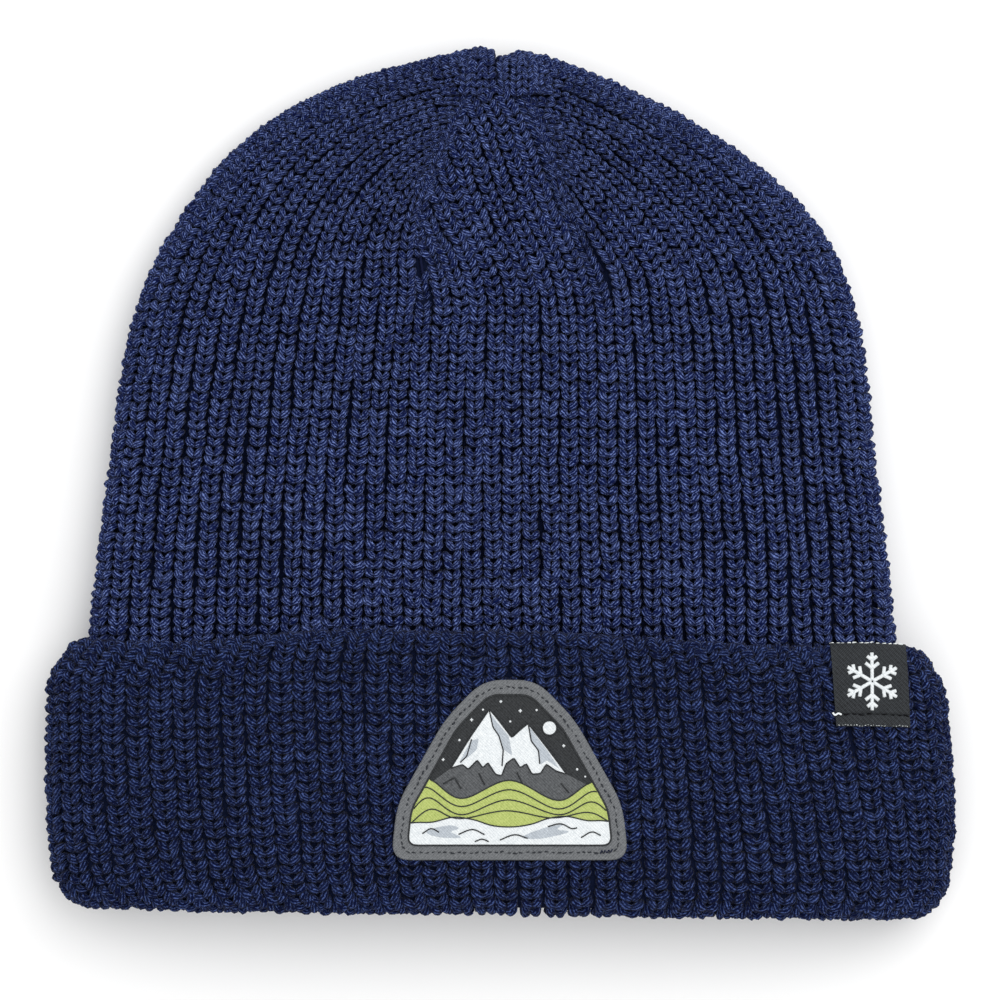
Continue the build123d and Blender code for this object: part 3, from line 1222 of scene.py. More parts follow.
    def tip_ribs(self) -> list[Rib]:
        """The ribs that roll over the tip in bunches, from the front to the back."""
        made = []
        turn = np.linspace(0.0, math.pi, 22)
        for puff in PUFFS:
            for x in puff.ribs:
                spot = np.array([x]), np.array([self.tip_start])
                front = float(self.height(*spot, Face.FRONT)[0]) + self.tip_raised
                back = float(self.height(*spot, Face.BACK)[0]) - self.tip_raised
                middle, half = (front + back) / 2, (front - back) / 2
                rise = puff.top - puff.fall * (x - puff.middle) ** 2 - self.tip_start
                lean = (puff.middle - x) * puff.lean * np.sin(turn)
                ys = self.tip_start + rise * np.sin(turn) ** puff.bulge
                points = columns(x + lean, ys, middle + half * np.cos(turn))
                aside = np.full(len(turn), puff.splay * (x - puff.middle))
                out = unit(columns(aside, np.sin(turn), np.cos(turn)))
                made.append(Rib(points, out, np.full(len(turn), puff.width)))
        return made

    def _fan(self, side: Side, foot_y: float, shares: Array, face: Face) -> Rows:
        """Where ribs cross an outer gore at each step along its fold."""
        seam = self.seams[face][side]
        corners = self.fold(side, foot_y)
        heights = foot_y + self.focus_rise * np.linspace(0.0, 1.0, len(corners)) ** self.focus_ease
        rows = Rows()
        for corner, height in zip(corners, heights):
            aim = np.array([seam.x(height), height])
            rows.add(self.fan_line(corner, aim, face), np.clip(shares, 0.0, self.fan_end))
        return rows

    def meeting(self, ys: Array, seam: SeamLine) -> Array:
        """How far ribs run on past a seam's thread; not at its foot, where a dimple stays open."""
        return self.overlap * soft_step(ys, seam.foot[1] + 2.0, seam.foot[1] + self.dimple)

    def _outside(self, points: Array, side: Side, seam: SeamLine) -> Array:
        """Which points of an outer gore's rib lie outside its seam."""
        apart = (points[:, 0] - seam.x(points[:, 1])) * side.value
        return apart > -self.meeting(points[:, 1], seam)

    def _leaning(
        self, start: Array, seams: dict[Side, SeamLine], face: Face
    ) -> tuple[Array, Array, Array]:
        """A middle rib's way up beside the right seam: points, directions across, and which to keep."""
        stop, lead = seams[Side.LEFT], seams[Side.RIGHT]
        foot_y = (stop.foot[1] + lead.foot[1]) / 2
        ys = np.arange(foot_y, lead.ys[-1], self.step)
        xs = start[0] + lead.x(ys) - lead.x(foot_y)
        rise = self.height(xs + 0.5, ys, face) - self.height(xs - 0.5, ys, face)
        across = unit(columns(np.ones(len(xs)), np.zeros(len(xs)), rise))
        return self.on(xs, ys, face), across, xs > stop.x(ys) - self.meeting(ys, stop)

    def _drawn_in(self, rib: Rib, seams: Iterable[SeamLine], creases: Sequence[Crease]) -> Rib:
        """The rib sunk where a seam or a crease draws the knit in."""
        x, y, _ = rib.points.T
        sink = np.zeros(len(rib.points))
        for seam in seams:
            near = np.abs(x - seam.x(y)) / self.furrow_width
            started = soft_step(y, seam.ys[0] - 3.0, seam.ys[0] + 3.0)
            sink = np.maximum(sink, self.furrow_depth * np.exp(-(near**2)) * started)
        for crease in creases:
            sink = np.maximum(sink, crease.sink(rib.points))
        return Rib(rib.points - rib.out * sink[:, None], rib.out, rib.width)


@dataclass
class CuffSurface:
    """Where the cuff's ribs run, in millimetres: up behind its lip, down its outside and in."""

    profile: Profile
    high: float
    shape: RingShape = RingShape()
    ribs: int = 40
    step: float = 0.8
    foot_y: float = -109.0
    head_y: float = -38.0
    lip_radius: float = 2.2
    fold_radius: float = 4.2
    behind_y: float = -45.0
    inside_y: float = -91.0
    straight: Pair = (-99.0, -47.0)
    hem_corner: float = 3.6
    lip_corner: float = 5.0
    corner_reach: float = 12.0
    hem_ease: float = 1.5
    lip_ease: float = 1.7
    sway_ease: float = 1.3
    foot_lift: Pair = (1.5, -1.5)
    head_lift: Pairs = (
        (-112, -3.4), (-103, -1.6), (-94, -2), (-84, -2.3), (-72, -1.8), (-60, -0.4),
        (-50, 0.6), (-40, 1.1), (-28, 1.2), (-14, 0.8), (0, 0.7), (15, 0.5), (26, -0.2),
        (40, -1), (52, -2), (64, -2.8), (80, -3.2), (92, -3.3), (101, -3.8),
        (107, -5), (112, -6.4),
    )
    half: float = 112.0
    sway_from: float = -55.0
    sway: Pairs = (
        (-112, 0), (-92, 3), (-60, 3.2), (-30, 2.2), (0, 1.6), (30, 3.6), (58, 6.2),
        (80, 7.2), (100, 4), (112, 0),
    )

    def swayed(self, shares: Array, y: float, depth: float, length: float) -> Array:
        """The ribs' shares of a ring after they lean aside towards the hem."""
        inside = depth > self.fold_radius and y < self.sway_from
        down = (self.sway_from - (self.foot_y if inside else y)) / (self.sway_from - self.foot_y)
        aside = np.interp((2 * shares - 1) * self.half, *zip(*self.sway))
        return shares + aside * max(down, 0.0) ** self.sway_ease / length

    def path(self) -> Array:
        """The way of a rib as (Y, depth below the outer face)."""
        lip, turn = self.lip_radius, self.fold_radius
        over = np.linspace(0.0, math.pi, 12)
        lip_y, fold_y = self.head_y - lip, self.foot_y + turn
        return every(
            np.vstack([
                [(self.behind_y, 2 * lip)],
                columns(lip_y + lip * np.sin(over), lip + lip * np.cos(over)),
                columns(fold_y - turn * np.sin(over), turn - turn * np.cos(over)),
                [(self.inside_y, 2 * turn)],
            ]),
            self.step,
        )

    def ring(self, y: float, depth: float, face: Face, count: int = 181) -> Array:
        """Half the ring at a height and depth, from the left fold to the right one."""
        q = across_shares(count)
        half_width, shift, _, _ = self.profile.at(np.clip(y, *self.straight))
        half_width = half_width - depth - self.corner(y)
        x = shift + q * half_width
        z = self.shape.height(face, q, half_width, depth, self.high - depth)
        return columns(x, self.lifted(x, y), z)

    def point(self, x: Array, y: float, depth: float) -> Array:
        """Points of the front at X, a height along the cuff and a depth under its outer face."""
        line = self.ring(y, depth, Face.FRONT)
        return columns(x, at_lengths(line[:, 1:], line[:, 0], x))

    def corner(self, y: float) -> float:
        """How much narrower the ring is near the hem and the lip, where the corners are rounded."""
        foot = 1 - soft_step(y, self.foot_y, self.foot_y + self.corner_reach)
        head = soft_step(y, self.head_y - self.corner_reach, self.head_y)
        hem = self.hem_corner * float(foot) ** self.hem_ease
        return hem + self.lip_corner * float(head) ** self.lip_ease

    def lifted(self, x: Array, y: float) -> Array:
        """The height y after the hem and the lip are drawn out of straight."""
        share = (y - self.foot_y) / (self.head_y - self.foot_y)
        side = x / self.half
        foot = self.foot_lift[0] + self.foot_lift[1] * side
        head = np.interp(x, *zip(*self.head_lift))
        return y + foot * (1 - share) + head * share

    def rib_lines(self, face: Face) -> list[Rib]:
        """All ribs of a face, from the left fold to the right one."""
        shares = rib_shares(self.ribs, face)
        rows = Rows()
        for y, depth in self.path():
            ring = self.ring(y, depth, face)
            rows.add(ring, self.swayed(shares, y, depth, path_length(ring)[-1]))
        made = []
        for k in range(len(shares)):
            points, across, width = rows.rib(k, self.ribs)
            out = unit(np.cross(np.gradient(points, axis=0), across)) * face.value
            made.append(Rib(points, out, width))
        return made


# ---- knit pieces
@dataclass(frozen=True)
class KnitGauge:
    """How a stitch field is laid: its courses, its depth under the outer face, its relief.

    A wave is the shortest length that a rib wobbles over and how much longer it may be.
    """

    course: float
    sunk: float
    relief: float = 1.0
    slack: float = 1.0
    wobble: float = 0.28
    slow_wave: Pair = (38.0, 22.0)
    quick_wave: Pair = (13.0, 6.0)
    slow_share: float = 0.7
    width_spread: float = 0.05
    phase_spread: float = 0.30
    seed: int = 3


def stitches_on(ribs: Iterable[Rib], gauge: KnitGauge, template: StitchTemplate, reverse: bool) -> StitchRun:
    """Places stitches along ribs.

    Args:
        ribs: The ribs.
        gauge: How they are laid.
        template: The stitch that will be laid.
        reverse: Whether the stitches point the other way along the ribs.

    Returns:
        Where they go.
    """
    run = StitchRun()
    chance = np.random.default_rng(gauge.seed)
    for rib in ribs:
        waves = chance.uniform(0.0, 1.0, 6)
        if len(rib.points) < 3:
            continue
        length = path_length(rib.points)
        count = int(length[-1] / gauge.course)
        if count < 1:
            continue
        ahead = np.gradient(rib.points, axis=0)
        (slow, slower), (quick, quicker) = gauge.slow_wave, gauge.quick_wave
        slow_wave = np.sin((length / (slow + slower * waves[0]) + waves[1]) * 2 * math.pi)
        quick_wave = np.sin((length / (quick + quicker * waves[2]) + waves[3]) * 2 * math.pi)
        drift = gauge.wobble * (gauge.slow_share * slow_wave + (1 - gauge.slow_share) * quick_wave)
        base = rib.points - rib.out * gauge.sunk + unit(np.cross(ahead, rib.out)) * drift[:, None]
        spots = (np.arange(count) + 0.5 + gauge.phase_spread * (waves[4] - 0.5)) * gauge.course
        loose = gauge.slack * (1 + gauge.width_spread * (2 * waves[5] - 1))
        width = np.interp(spots, length, rib.width) * loose / template.pitch
        tall = np.full(count, gauge.course / template.course)
        size = columns(width, tall, np.full(count, gauge.relief))
        along = unit(at_lengths(ahead, length, spots))
        out = unit(at_lengths(rib.out, length, spots))
        run.add(at_lengths(base, length, spots), -along if reverse else along, out, size)
    return run


def lay_faces(
    name: str, ribs: dict[Face, list[Rib]], gauges: dict[Face, KnitGauge], layer: StitchLayer,
    yarn: Material, reverse: bool,
) -> list[Object]:
    """Lays both faces of a knit; the back, which lies on the table, has plainer stitches.

    Args:
        name: The start of the pieces' names.
        ribs: Each face's ribs.
        gauges: How each face is laid.
        layer: Lays the stitches.
        yarn: The yarn's material.
        reverse: Whether the stitches point the other way along the ribs.

    Returns:
        The pieces.
    """
    made = []
    for face in Face:
        template = StitchTemplate() if face is Face.FRONT else StitchTemplate(sides=6, rings=6)
        run = stitches_on(ribs[face], gauges[face], template, reverse)
        made += layer.lay(f"{name}_{face.name.lower()}", run, template, yarn)
    return made


@dataclass
class BodyKnit:
    """The body: stitches over a thin ground, painted dark as the shade between the ribs."""

    surface: BodySurface
    front: KnitGauge = KnitGauge(course=2.34, sunk=1.80, relief=1.2)
    back: KnitGauge = KnitGauge(course=2.34, sunk=1.80, relief=1.15)
    tip: KnitGauge = KnitGauge(course=1.9, sunk=1.2, relief=0.9, wobble=0.1)
    ground_out: float = 3.5
    ground_in: float = 4.2
    ground_start: float = -94.0
    ground_step: float = 2.0
    ground_points: int = 200
    pinch: float = 0.02

    def rings(self, depth: float) -> list[Array]:
        """Rings of the ground from the mouth to the tip at one depth."""
        surface = self.surface
        made = []
        for y in np.arange(self.ground_start, surface.tip_y - depth * 0.5, self.ground_step):
            half_width, shift, low, high = (float(v) for v in surface.profile.at(y))
            room = min((high - low) * 0.35, half_width * 0.5, depth)
            loop = surface.shape.loop(half_width - room, shift, low + room, high - room, self.ground_points)
            made.append(columns(loop[:, 0], np.full(len(loop), y), loop[:, 1]))
        return made

    def ground(self, material: Material) -> Object:
        """The ground, open at the mouth and drawn together at the tip."""
        outer, inner = self.rings(self.ground_out), self.rings(self.ground_in)[:-3]
        ends = [(ring, ring.mean(axis=0)) for ring in (outer[-1], inner[-1])]
        pinched = [middle + (ring - middle) * self.pinch for ring, middle in ends]
        return skin("knit_body_ground", outer + pinched + inner[::-1], material, True)

    def build(self, layer: StitchLayer, yarn: Material, ground: Material) -> list[Object]:
        """Lays the stitches and the ground, which comes first."""
        base = self.ground(ground)
        ribs = {face: self.surface.rib_lines(face) + self.surface.seam_ribs(face) for face in Face}
        gauges = {Face.FRONT: self.front, Face.BACK: self.back}
        faces = lay_faces("knit_body", ribs, gauges, layer, yarn, False)
        tip = stitches_on(self.surface.tip_ribs(), self.tip, StitchTemplate(), False)
        return [base, *faces, *layer.lay("knit_body_tip", tip, StitchTemplate(), yarn)]


@dataclass
class CuffKnit:
    """The turned-up cuff: stitches over a thin ground, painted dark as the shade between the ribs, round the
    lip and the fold.
    """

    surface: CuffSurface
    gauge: KnitGauge = KnitGauge(course=2.5, sunk=1.9, relief=1.25, slack=1.05)
    ground_depth: float = 1.9
    ground_thick: float = 1.0
    ground_past: float = 2.0
    ground_step: float = 4.0
    ground_points: int = 100

    def ground(self, material: Material) -> Object:
        """The ground: a thin band from the lip down and round the fold."""
        s = self.surface
        fold_y = s.foot_y + s.fold_radius
        turn = np.linspace(0.0, math.pi, 10)
        outer = s.fold_radius - self.ground_depth
        inner = outer - self.ground_thick
        down = np.arange(s.head_y - s.lip_radius, fold_y, -self.ground_step)
        end = s.inside_y - self.ground_past
        section = [(y, self.ground_depth) for y in down]
        section += [(fold_y - outer * math.sin(a), s.fold_radius - outer * math.cos(a)) for a in turn]
        section += [(end, s.fold_radius + outer), (end, s.fold_radius + inner)]
        section += [(fold_y - inner * math.sin(a), s.fold_radius - inner * math.cos(a)) for a in turn[::-1]]
        section += [(y, self.ground_depth + self.ground_thick) for y in down[::-1]]
        rings = []
        for y, depth in section:
            front, back = (spread_out(s.ring(y, depth, face), self.ground_points) for face in Face)
            rings.append(np.vstack([front[:-1], back[::-1][:-1]]))
        return skin("knit_cuff_ground", rings, material, True)

    def build(self, layer: StitchLayer, yarn: Material, ground: Material) -> list[Object]:
        """Lays the stitches and the ground, which comes first."""
        base = self.ground(ground)
        ribs = {face: self.surface.rib_lines(face) for face in Face}
        gauges = {face: self.gauge for face in Face}
        return [base, *lay_faces("knit_cuff", ribs, gauges, layer, yarn, True)]


# ---- sewn-on pieces
@dataclass
class Bed:
    """The cuff's front as the bed of what is sewn on it, in millimetres."""

    surface: CuffSurface
    sway: float = 0.12
    sway_pitch: float = 5.9
    sway_fall: float = 9.0

    def height(self, x: Array, y: Array) -> Array:
        """The height of the ribs' crests at (x, y), with their slight sway."""
        s = self.surface
        level = np.clip(y, *s.straight)
        share, half_width = s.profile.share(x, level), s.profile.at(level)[0]
        crest = s.shape.height(Face.FRONT, share, half_width, 0.0, s.high)
        return crest + self.sway * np.sin(2 * math.pi * x / self.sway_pitch) * np.cos(y / self.sway_fall)

    def on(self, plan: Array, lift: float) -> Array:
        """Plan points laid at a lift above the bed."""
        return columns(plan, self.height(plan[:, 0], plan[:, 1]) + lift)

    def slab(
        self, name: str, outline: Array, low: float, high: float, material: Material,
        chamfer: float = 0.0, grain: float = 1.0,
    ) -> Object:
        """A flat shape laid on the bed as a closed slab.

        Args:
            name: The piece's name.
            outline: Its outline in plan.
            low: Its underside above the bed.
            high: Its top above the bed.
            material: What it is made of.
            chamfer: How far its top edge is taken off.
            grain: How far apart the points inside it are.

        Returns:
            The object.
        """
        whole = closed(outline)
        rim = spread_out(whole, max(8, int(path_length(whole)[-1] / (grain * 0.6))), False)
        top_rim = shrunk(rim, chamfer) if chamfer else rim
        starts, ends = top_rim.min(axis=0) + grain / 2, top_rim.max(axis=0)
        xs, ys = (np.arange(start, end, grain) for start, end in zip(starts, ends))
        flat = [Vector(p) for p in top_rim] + [Vector((x, y)) for x in xs for y in ys]
        count = len(rim)
        ring = [(i, (i + 1) % count) for i in range(count)]
        spots, _, triangles, origins, _, _ = delaunay_2d_cdt(flat, ring, [list(range(count))], 1, 1e-6)
        rim_at = {source: index for index, found in enumerate(origins) for source in found if source < count}
        upper = np.array([(p.x, p.y) for p in spots])
        lower = upper.copy()
        for source, index in rim_at.items():
            lower[index] = rim[source]
        top = len(upper)
        points = [self.on(upper, high), self.on(lower, low)]
        faces = [tuple(t) for t in triangles] + [tuple(i + top for i in reversed(t)) for t in triangles]
        edges = [[rim_at[i] for i in range(count)], [rim_at[i] + top for i in range(count)]]
        if chamfer:
            points.append(self.on(rim, high - chamfer))
            edges.insert(1, [2 * top + i for i in range(count)])
        for above, below in zip(edges, edges[1:]):
            faces += [(above[i], above[j], below[j], below[i]) for i, j in ring]
        made = mesh_object(name, np.vstack(points) * MM, faces, material)
        outwards(made)
        made.data.set_sharp_from_angle(angle=SHARP_ANGLE)
        return made

    def thread(self, line: Array, radius: float, lift: float, material: Material) -> Object:
        """A thread laid along a plan line, its middle at a lift above the bed."""
        points = self.on(resampled(np.asarray(line, float), 0.5), lift)
        return tube("thread", points, np.full(len(points), radius), 6, material)

    def row(self, path: Array, pitch: float, lift: float) -> StitchRun:
        """Places for sewing stitches.

        Args:
            path: The plan line they follow.
            pitch: How far apart they are.
            lift: How high above the bed they lie.

        Returns:
            The places.
        """
        run = path_length(path)
        count = max(1, round(run[-1] / pitch))
        spots = (np.arange(count) + 0.5) * run[-1] / count
        plan = at_lengths(path, run, spots)
        step = at_lengths(path, run, spots + 0.2) - at_lengths(path, run, spots - 0.2)
        along = unit(self.on(plan + step, 0.0) - self.on(plan, 0.0))
        x, y = plan.T
        slope = self.height(x + 0.5, y) - self.height(x - 0.5, y)
        made = StitchRun()
        made.add(self.on(plan, lift), along, unit(columns(-slope, np.zeros(count), np.ones(count))))
        return made


@dataclass(frozen=True)
class Motif:
    """One closed shape of the patch's picture, in millimetres from the patch's middle."""

    tone: str
    corners: Pairs
    top: float
    soft: bool = False
    outlined: bool = False


@dataclass(frozen=True)
class Strokes:
    """Thin lines woven into the picture, in millimetres from the patch's middle."""

    ways: tuple[Pairs, ...]
    lift: float
    smooth: bool


def dot(x: float, y: float, radius: float) -> Pairs:
    """The corners of a round dot."""
    turns = (step / 6 * math.pi for step in range(12))
    return tuple((x + radius * math.cos(turn), y + radius * math.sin(turn)) for turn in turns)


PICTURE: tuple[Motif, ...] = (
    Motif("black", ((-30, -30), (30, -30), (30, 30), (-30, 30)), 0.10),
    Motif("rock", (
        (-25, -9), (-19, -2.8), (-14.5, 0.5), (-5, 14.6), (0.5, 7.6), (4.5, 11), (14, -1), (19, -3.6),
        (25, -9), (12, -9), (0, -6), (-12, -9),
    ), 0.15),
    Motif("green", (
        (-30, -8), (-21, -2), (-12, -7), (0, -2.5), (12, -7.5), (21, -3), (30, -9), (30, -16), (14, -14),
        (0, -16), (-14, -14), (-30, -17),
    ), 0.19, soft=True),
    Motif("white", (
        (-14.5, 0.5), (-9.6, 8.3), (-5, 15), (-2.2, 11.6), (0.5, 8), (2.6, 9.9), (4.5, 11.5), (9.4, 5.2),
        (14, -1), (11.4, -0.2), (9, 1.5), (7.6, -0.8), (5.5, -1), (4.1, 1.6), (2.6, 0.6), (1, 3),
        (-0.9, 1.6), (-2, -1.4), (-3.5, -1), (-5.4, 1.9), (-6.6, 0.6), (-8, 2.5), (-10.2, 0.2),
        (-11.6, 1.4),
    ), 0.24, outlined=True),
    Motif("shadow", ((-5, 14.2), (-0.2, 8.2), (0.6, 3.6), (-1.6, 5.2), (-2.6, 8.6), (-4, 10.4)), 0.29),
    Motif("shadow", (
        (4.7, 10.8), (8.8, 5.4), (12.2, 0.4), (9.2, 2.4), (7.6, 1.4), (7.2, 5), (5.2, 7),
    ), 0.29),
    Motif("shadow", ((-9.6, 7.2), (-7.6, 7.8), (-8.2, 5), (-10.6, 3), (-12.4, 2)), 0.29),
    Motif("white", (
        (-30, -14.6), (-24, -13), (-19, -12.8), (-14, -11.6), (-9, -12.2), (-4.5, -13.6), (0, -14),
        (5, -13.4), (9.5, -11.9), (14, -11.4), (19, -12.4), (24, -12.6), (30, -14.5), (30, -30),
        (-30, -30),
    ), 0.24, soft=True, outlined=True),
    Motif("shadow", (
        (3, -16.6), (8, -14.4), (13, -13.4), (11.6, -14.6), (14.6, -15.2), (8, -16.8),
    ), 0.29, soft=True),
    Motif("shadow", (
        (-20.5, -15), (-15, -13.6), (-12.5, -14.4), (-14.6, -15.2), (-12, -16.6), (-18, -16.4),
    ), 0.29, soft=True),
    Motif("white", dot(9.8, 10.4, 1.8), 0.22, soft=True, outlined=True),
)
STARS: tuple[Triple, ...] = (
    (-2.2, 16.9, 0.34), (2.6, 14.6, 0.42), (-9.4, 12.4, 0.40), (-12.4, 7.4, 0.30), (-16.4, 2.6, 0.36),
    (6.6, 14.8, 0.26), (13.3, 6.0, 0.36), (16.6, 0.2, 0.30), (-6.6, 14.9, 0.24), (-19.5, -0.6, 0.26),
    (0.1, 12.0, 0.26), (18.6, -1.6, 0.22),
)
HILL_LINES = Strokes((
    ((-30, -8), (-21, -2), (-12, -7), (0, -2.5), (12, -7.5), (21, -3), (30, -9)),
    ((-25, -8.4), (-20.6, -4.2), (-12, -9), (0, -4.8), (12, -9.6), (20.6, -5.2), (25, -9)),
    ((-25, -11), (-20, -6.8), (-12, -11), (-0.4, -7.3), (12, -11), (20, -7.8), (25, -11)),
    ((-25, -13.6), (-19.4, -9.6), (-12.5, -12), (-1, -10), (10.5, -11.8), (19.4, -10.4), (25, -13)),
), 0.19, True)
DRIFT_LINES = Strokes((
    ((-21.5, -15.6), (-19.4, -14.4), (-17.4, -15.3)),
    ((-12.6, -15.8), (-9.2, -14.6), (-6.2, -15.9)),
    ((-2.4, -17.2), (1.2, -15.9), (4.4, -16.8)),
    ((9.4, -13.9), (12.6, -13.2), (15.2, -14.4), (16.6, -14.2)),
    ((17.6, -16.6), (20.2, -15.2), (22.4, -16.1)),
    ((-8.6, -17.6), (-6.8, -17), (-5.2, -17.6)),
), 0.29, True)
CREVICES = Strokes((
    ((-5, 14.6), (-4.1, 10.5), (-2.7, 8.6), (-1.6, 5.0), (-1.9, 1.0)),
    ((4.6, 11.2), (5.3, 7.2), (7.1, 4.8), (7.4, 1.6)),
    ((-9.4, 7.6), (-10.6, 3.4), (-12.2, 1.9)),
    ((-16.4, -3.4), (-13.6, -1.8), (-12, -4.6)),
    ((-7.6, -0.8), (-6.2, -3.6)),
    ((1.8, -0.6), (3.2, -3.4)),
    ((12.6, -3.2), (14.6, -5.6)),
), 0.27, False)
WOVEN_WITH: dict[str, str] = {"rock": "black", "shadow": "white"}


@dataclass
class Patch:
    """The woven patch: a grey twill ground and a mountain scene, in millimetres from its middle."""

    bed: Bed
    middle: Pair
    half_outline: Pairs = ((29.3, -22.2), (27.8, -8.5), (16.0, 12.5), (6.5, 22.2))
    corner: float = 4.6
    tightening: float = 0.6
    border: float = 3.7
    under: float = 0.35
    top: float = 1.05
    edge: float = 0.25
    ground_grain: float = 1.3
    sunk: float = 0.2
    line: float = 0.17
    ring_line: float = 0.26
    ring_lift: float = 0.12
    star_lift: float = 0.14
    row_in: float = 1.9
    row_pitch: float = 1.55
    row_lift: float = 0.02
    thread: ThreadStitch = ThreadStitch(length=0.95, radius=0.17, bow=0.16)
    tack_at: Pair = (23.6, -20.1)
    tack_line: float = 0.14
    tack_lift: float = 0.06
    tack: Pairs = (
        (-1.3, -0.5), (-0.9, 0.4), (-0.5, -0.5), (-0.1, 0.45), (0.4, -0.4), (0.8, 0.5), (1.3, -0.2),
        (1.7, 0.7),
    )

    def frame(self, depth: float) -> Array:
        """The cut outline, or one that lies a depth inside it."""
        right = list(self.half_outline)
        points = np.array(right + [(-x, y) for x, y in reversed(right)])
        ahead = unit(np.roll(points, -1, axis=0) - points)
        moved = points + turned_left(ahead) * depth
        corners = []
        for i, corner in enumerate(moved):
            before, step = moved[i - 1], ahead[i - 1]
            apart = corner - before
            turn = step[0] * ahead[i][1] - step[1] * ahead[i][0]
            corners.append(before + step * (apart[0] * ahead[i][1] - apart[1] * ahead[i][0]) / turn)
        return rounded(corners, self.corner - depth * self.tightening) + np.array(self.middle)

    def clipped(self, shape: Array) -> Array:
        """A motif cut off at the picture's edge."""
        frame = self.frame(self.border)
        cut = [np.asarray(p, float) for p in shape]
        count = len(frame)
        for i in range(count):
            a, b = frame[i], frame[(i + 1) % count]
            edge = b - a
            away = [edge[0] * (p[1] - a[1]) - edge[1] * (p[0] - a[0]) for p in cut]
            kept = []
            for j, p in enumerate(cut):
                k = (j + 1) % len(cut)
                if away[j] >= 0:
                    kept.append(p)
                if (away[j] >= 0) != (away[k] >= 0):
                    kept.append(p + (cut[k] - p) * away[j] / (away[j] - away[k]))
            cut = kept
        return np.array(cut)

    def within(self, line: Array) -> list[Array]:
        """The stretches of a line that lie inside the picture's edge."""
        frame = self.frame(self.border + self.line)
        ahead = np.roll(frame, -1, axis=0) - frame
        apart = line[:, None] - frame[None]
        inside = np.all(ahead[:, 0] * apart[:, :, 1] - ahead[:, 1] * apart[:, :, 0] >= 0, axis=1)
        cuts = np.flatnonzero(np.diff(inside.astype(int))) + 1
        pieces = np.split(np.arange(len(line)), cuts)
        return [line[p] for p in pieces if len(p) > 2 and inside[p[0]]]

    def lines(
        self, ways: Iterable[Pairs], lift: float, material: Material, smooth: bool = False,
        loops: bool = False,
    ) -> list[Object]:
        """Thin woven lines, as far as they lie inside the picture.

        Args:
            ways: The points that each line goes through.
            lift: How high above the patch's face they lie.
            material: What they are made of.
            smooth: Whether they are curved.
            loops: Whether each comes back to its start.

        Returns:
            The lines.
        """
        made = []
        for way in ways:
            spots = curved(way, loops) if smooth else np.array(way, float)
            spots = closed(spots) if loops else spots
            for piece in self.within(resampled(spots, 0.4) + np.array(self.middle)):
                made.append(self.bed.thread(piece, self.line, self.top + lift, material))
        return made

    def picture(self, tones: Tones) -> dict[str, list[Object]]:
        """The picture's parts by the yarn they are woven with."""
        parts: dict[str, list[Object]] = {"black": [], "green": [], "white": []}
        black = tones["black"]
        for motif in PICTURE:
            corners = curved(motif.corners, True, 6) if motif.soft else np.array(motif.corners, float)
            shape = self.clipped(corners + np.array(self.middle))
            yarn = tones[motif.tone]
            part = self.bed.slab("weave", shape, self.top - self.sunk, self.top + motif.top, yarn)
            parts[WOVEN_WITH.get(motif.tone, motif.tone)].append(part)
            if motif.outlined:
                parts["black"] += self.lines([motif.corners], motif.top, black, motif.soft, True)
        ring = closed(self.frame(self.border))
        parts["black"].append(self.bed.thread(ring, self.ring_line, self.top + self.ring_lift, black))
        for strokes in (HILL_LINES, DRIFT_LINES, CREVICES):
            parts["black"] += self.lines(strokes.ways, strokes.lift, black, strokes.smooth)
        for x, y, reach in STARS:
            cross = ((x - reach, y), (x, y), (x + reach, y)), ((x, y - reach), (x, y), (x, y + reach))
            parts["white"] += self.lines(cross, self.star_lift, tones["white"])
        return parts

    def build(self, layer: StitchLayer, tones: Tones) -> dict[str, Object]:
        """Builds the patch.

        Args:
            layer: Lays the sewing stitches.
            tones: The materials by name.

        Returns:
            The pieces by CAD node.
        """
        ground = self.bed.slab(
            "patch_ground_cloth", self.frame(0.0), -self.under, self.top, tones["grey"], self.edge,
            self.ground_grain,
        )
        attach(ground, ROOT)
        made = {"patch_ground": ground}
        for key, found in self.picture(tones).items():
            made[f"patch_{key}_weave"] = joined(f"patch_{key}_cloth", found)
        row = self.bed.row(closed(self.frame(self.row_in)), self.row_pitch, self.top + self.row_lift)
        stitches = layer.lay("patch_stitches", row, self.thread, tones["grey_thread"])
        tack = np.array(self.tack) + np.array(self.middle) + np.array(self.tack_at)
        tacked = self.bed.thread(tack, self.tack_line, self.top + self.tack_lift, tones["navy_thread"])
        made["patch_stitching"] = joined("patch_stitches", [*stitches, tacked])
        return made


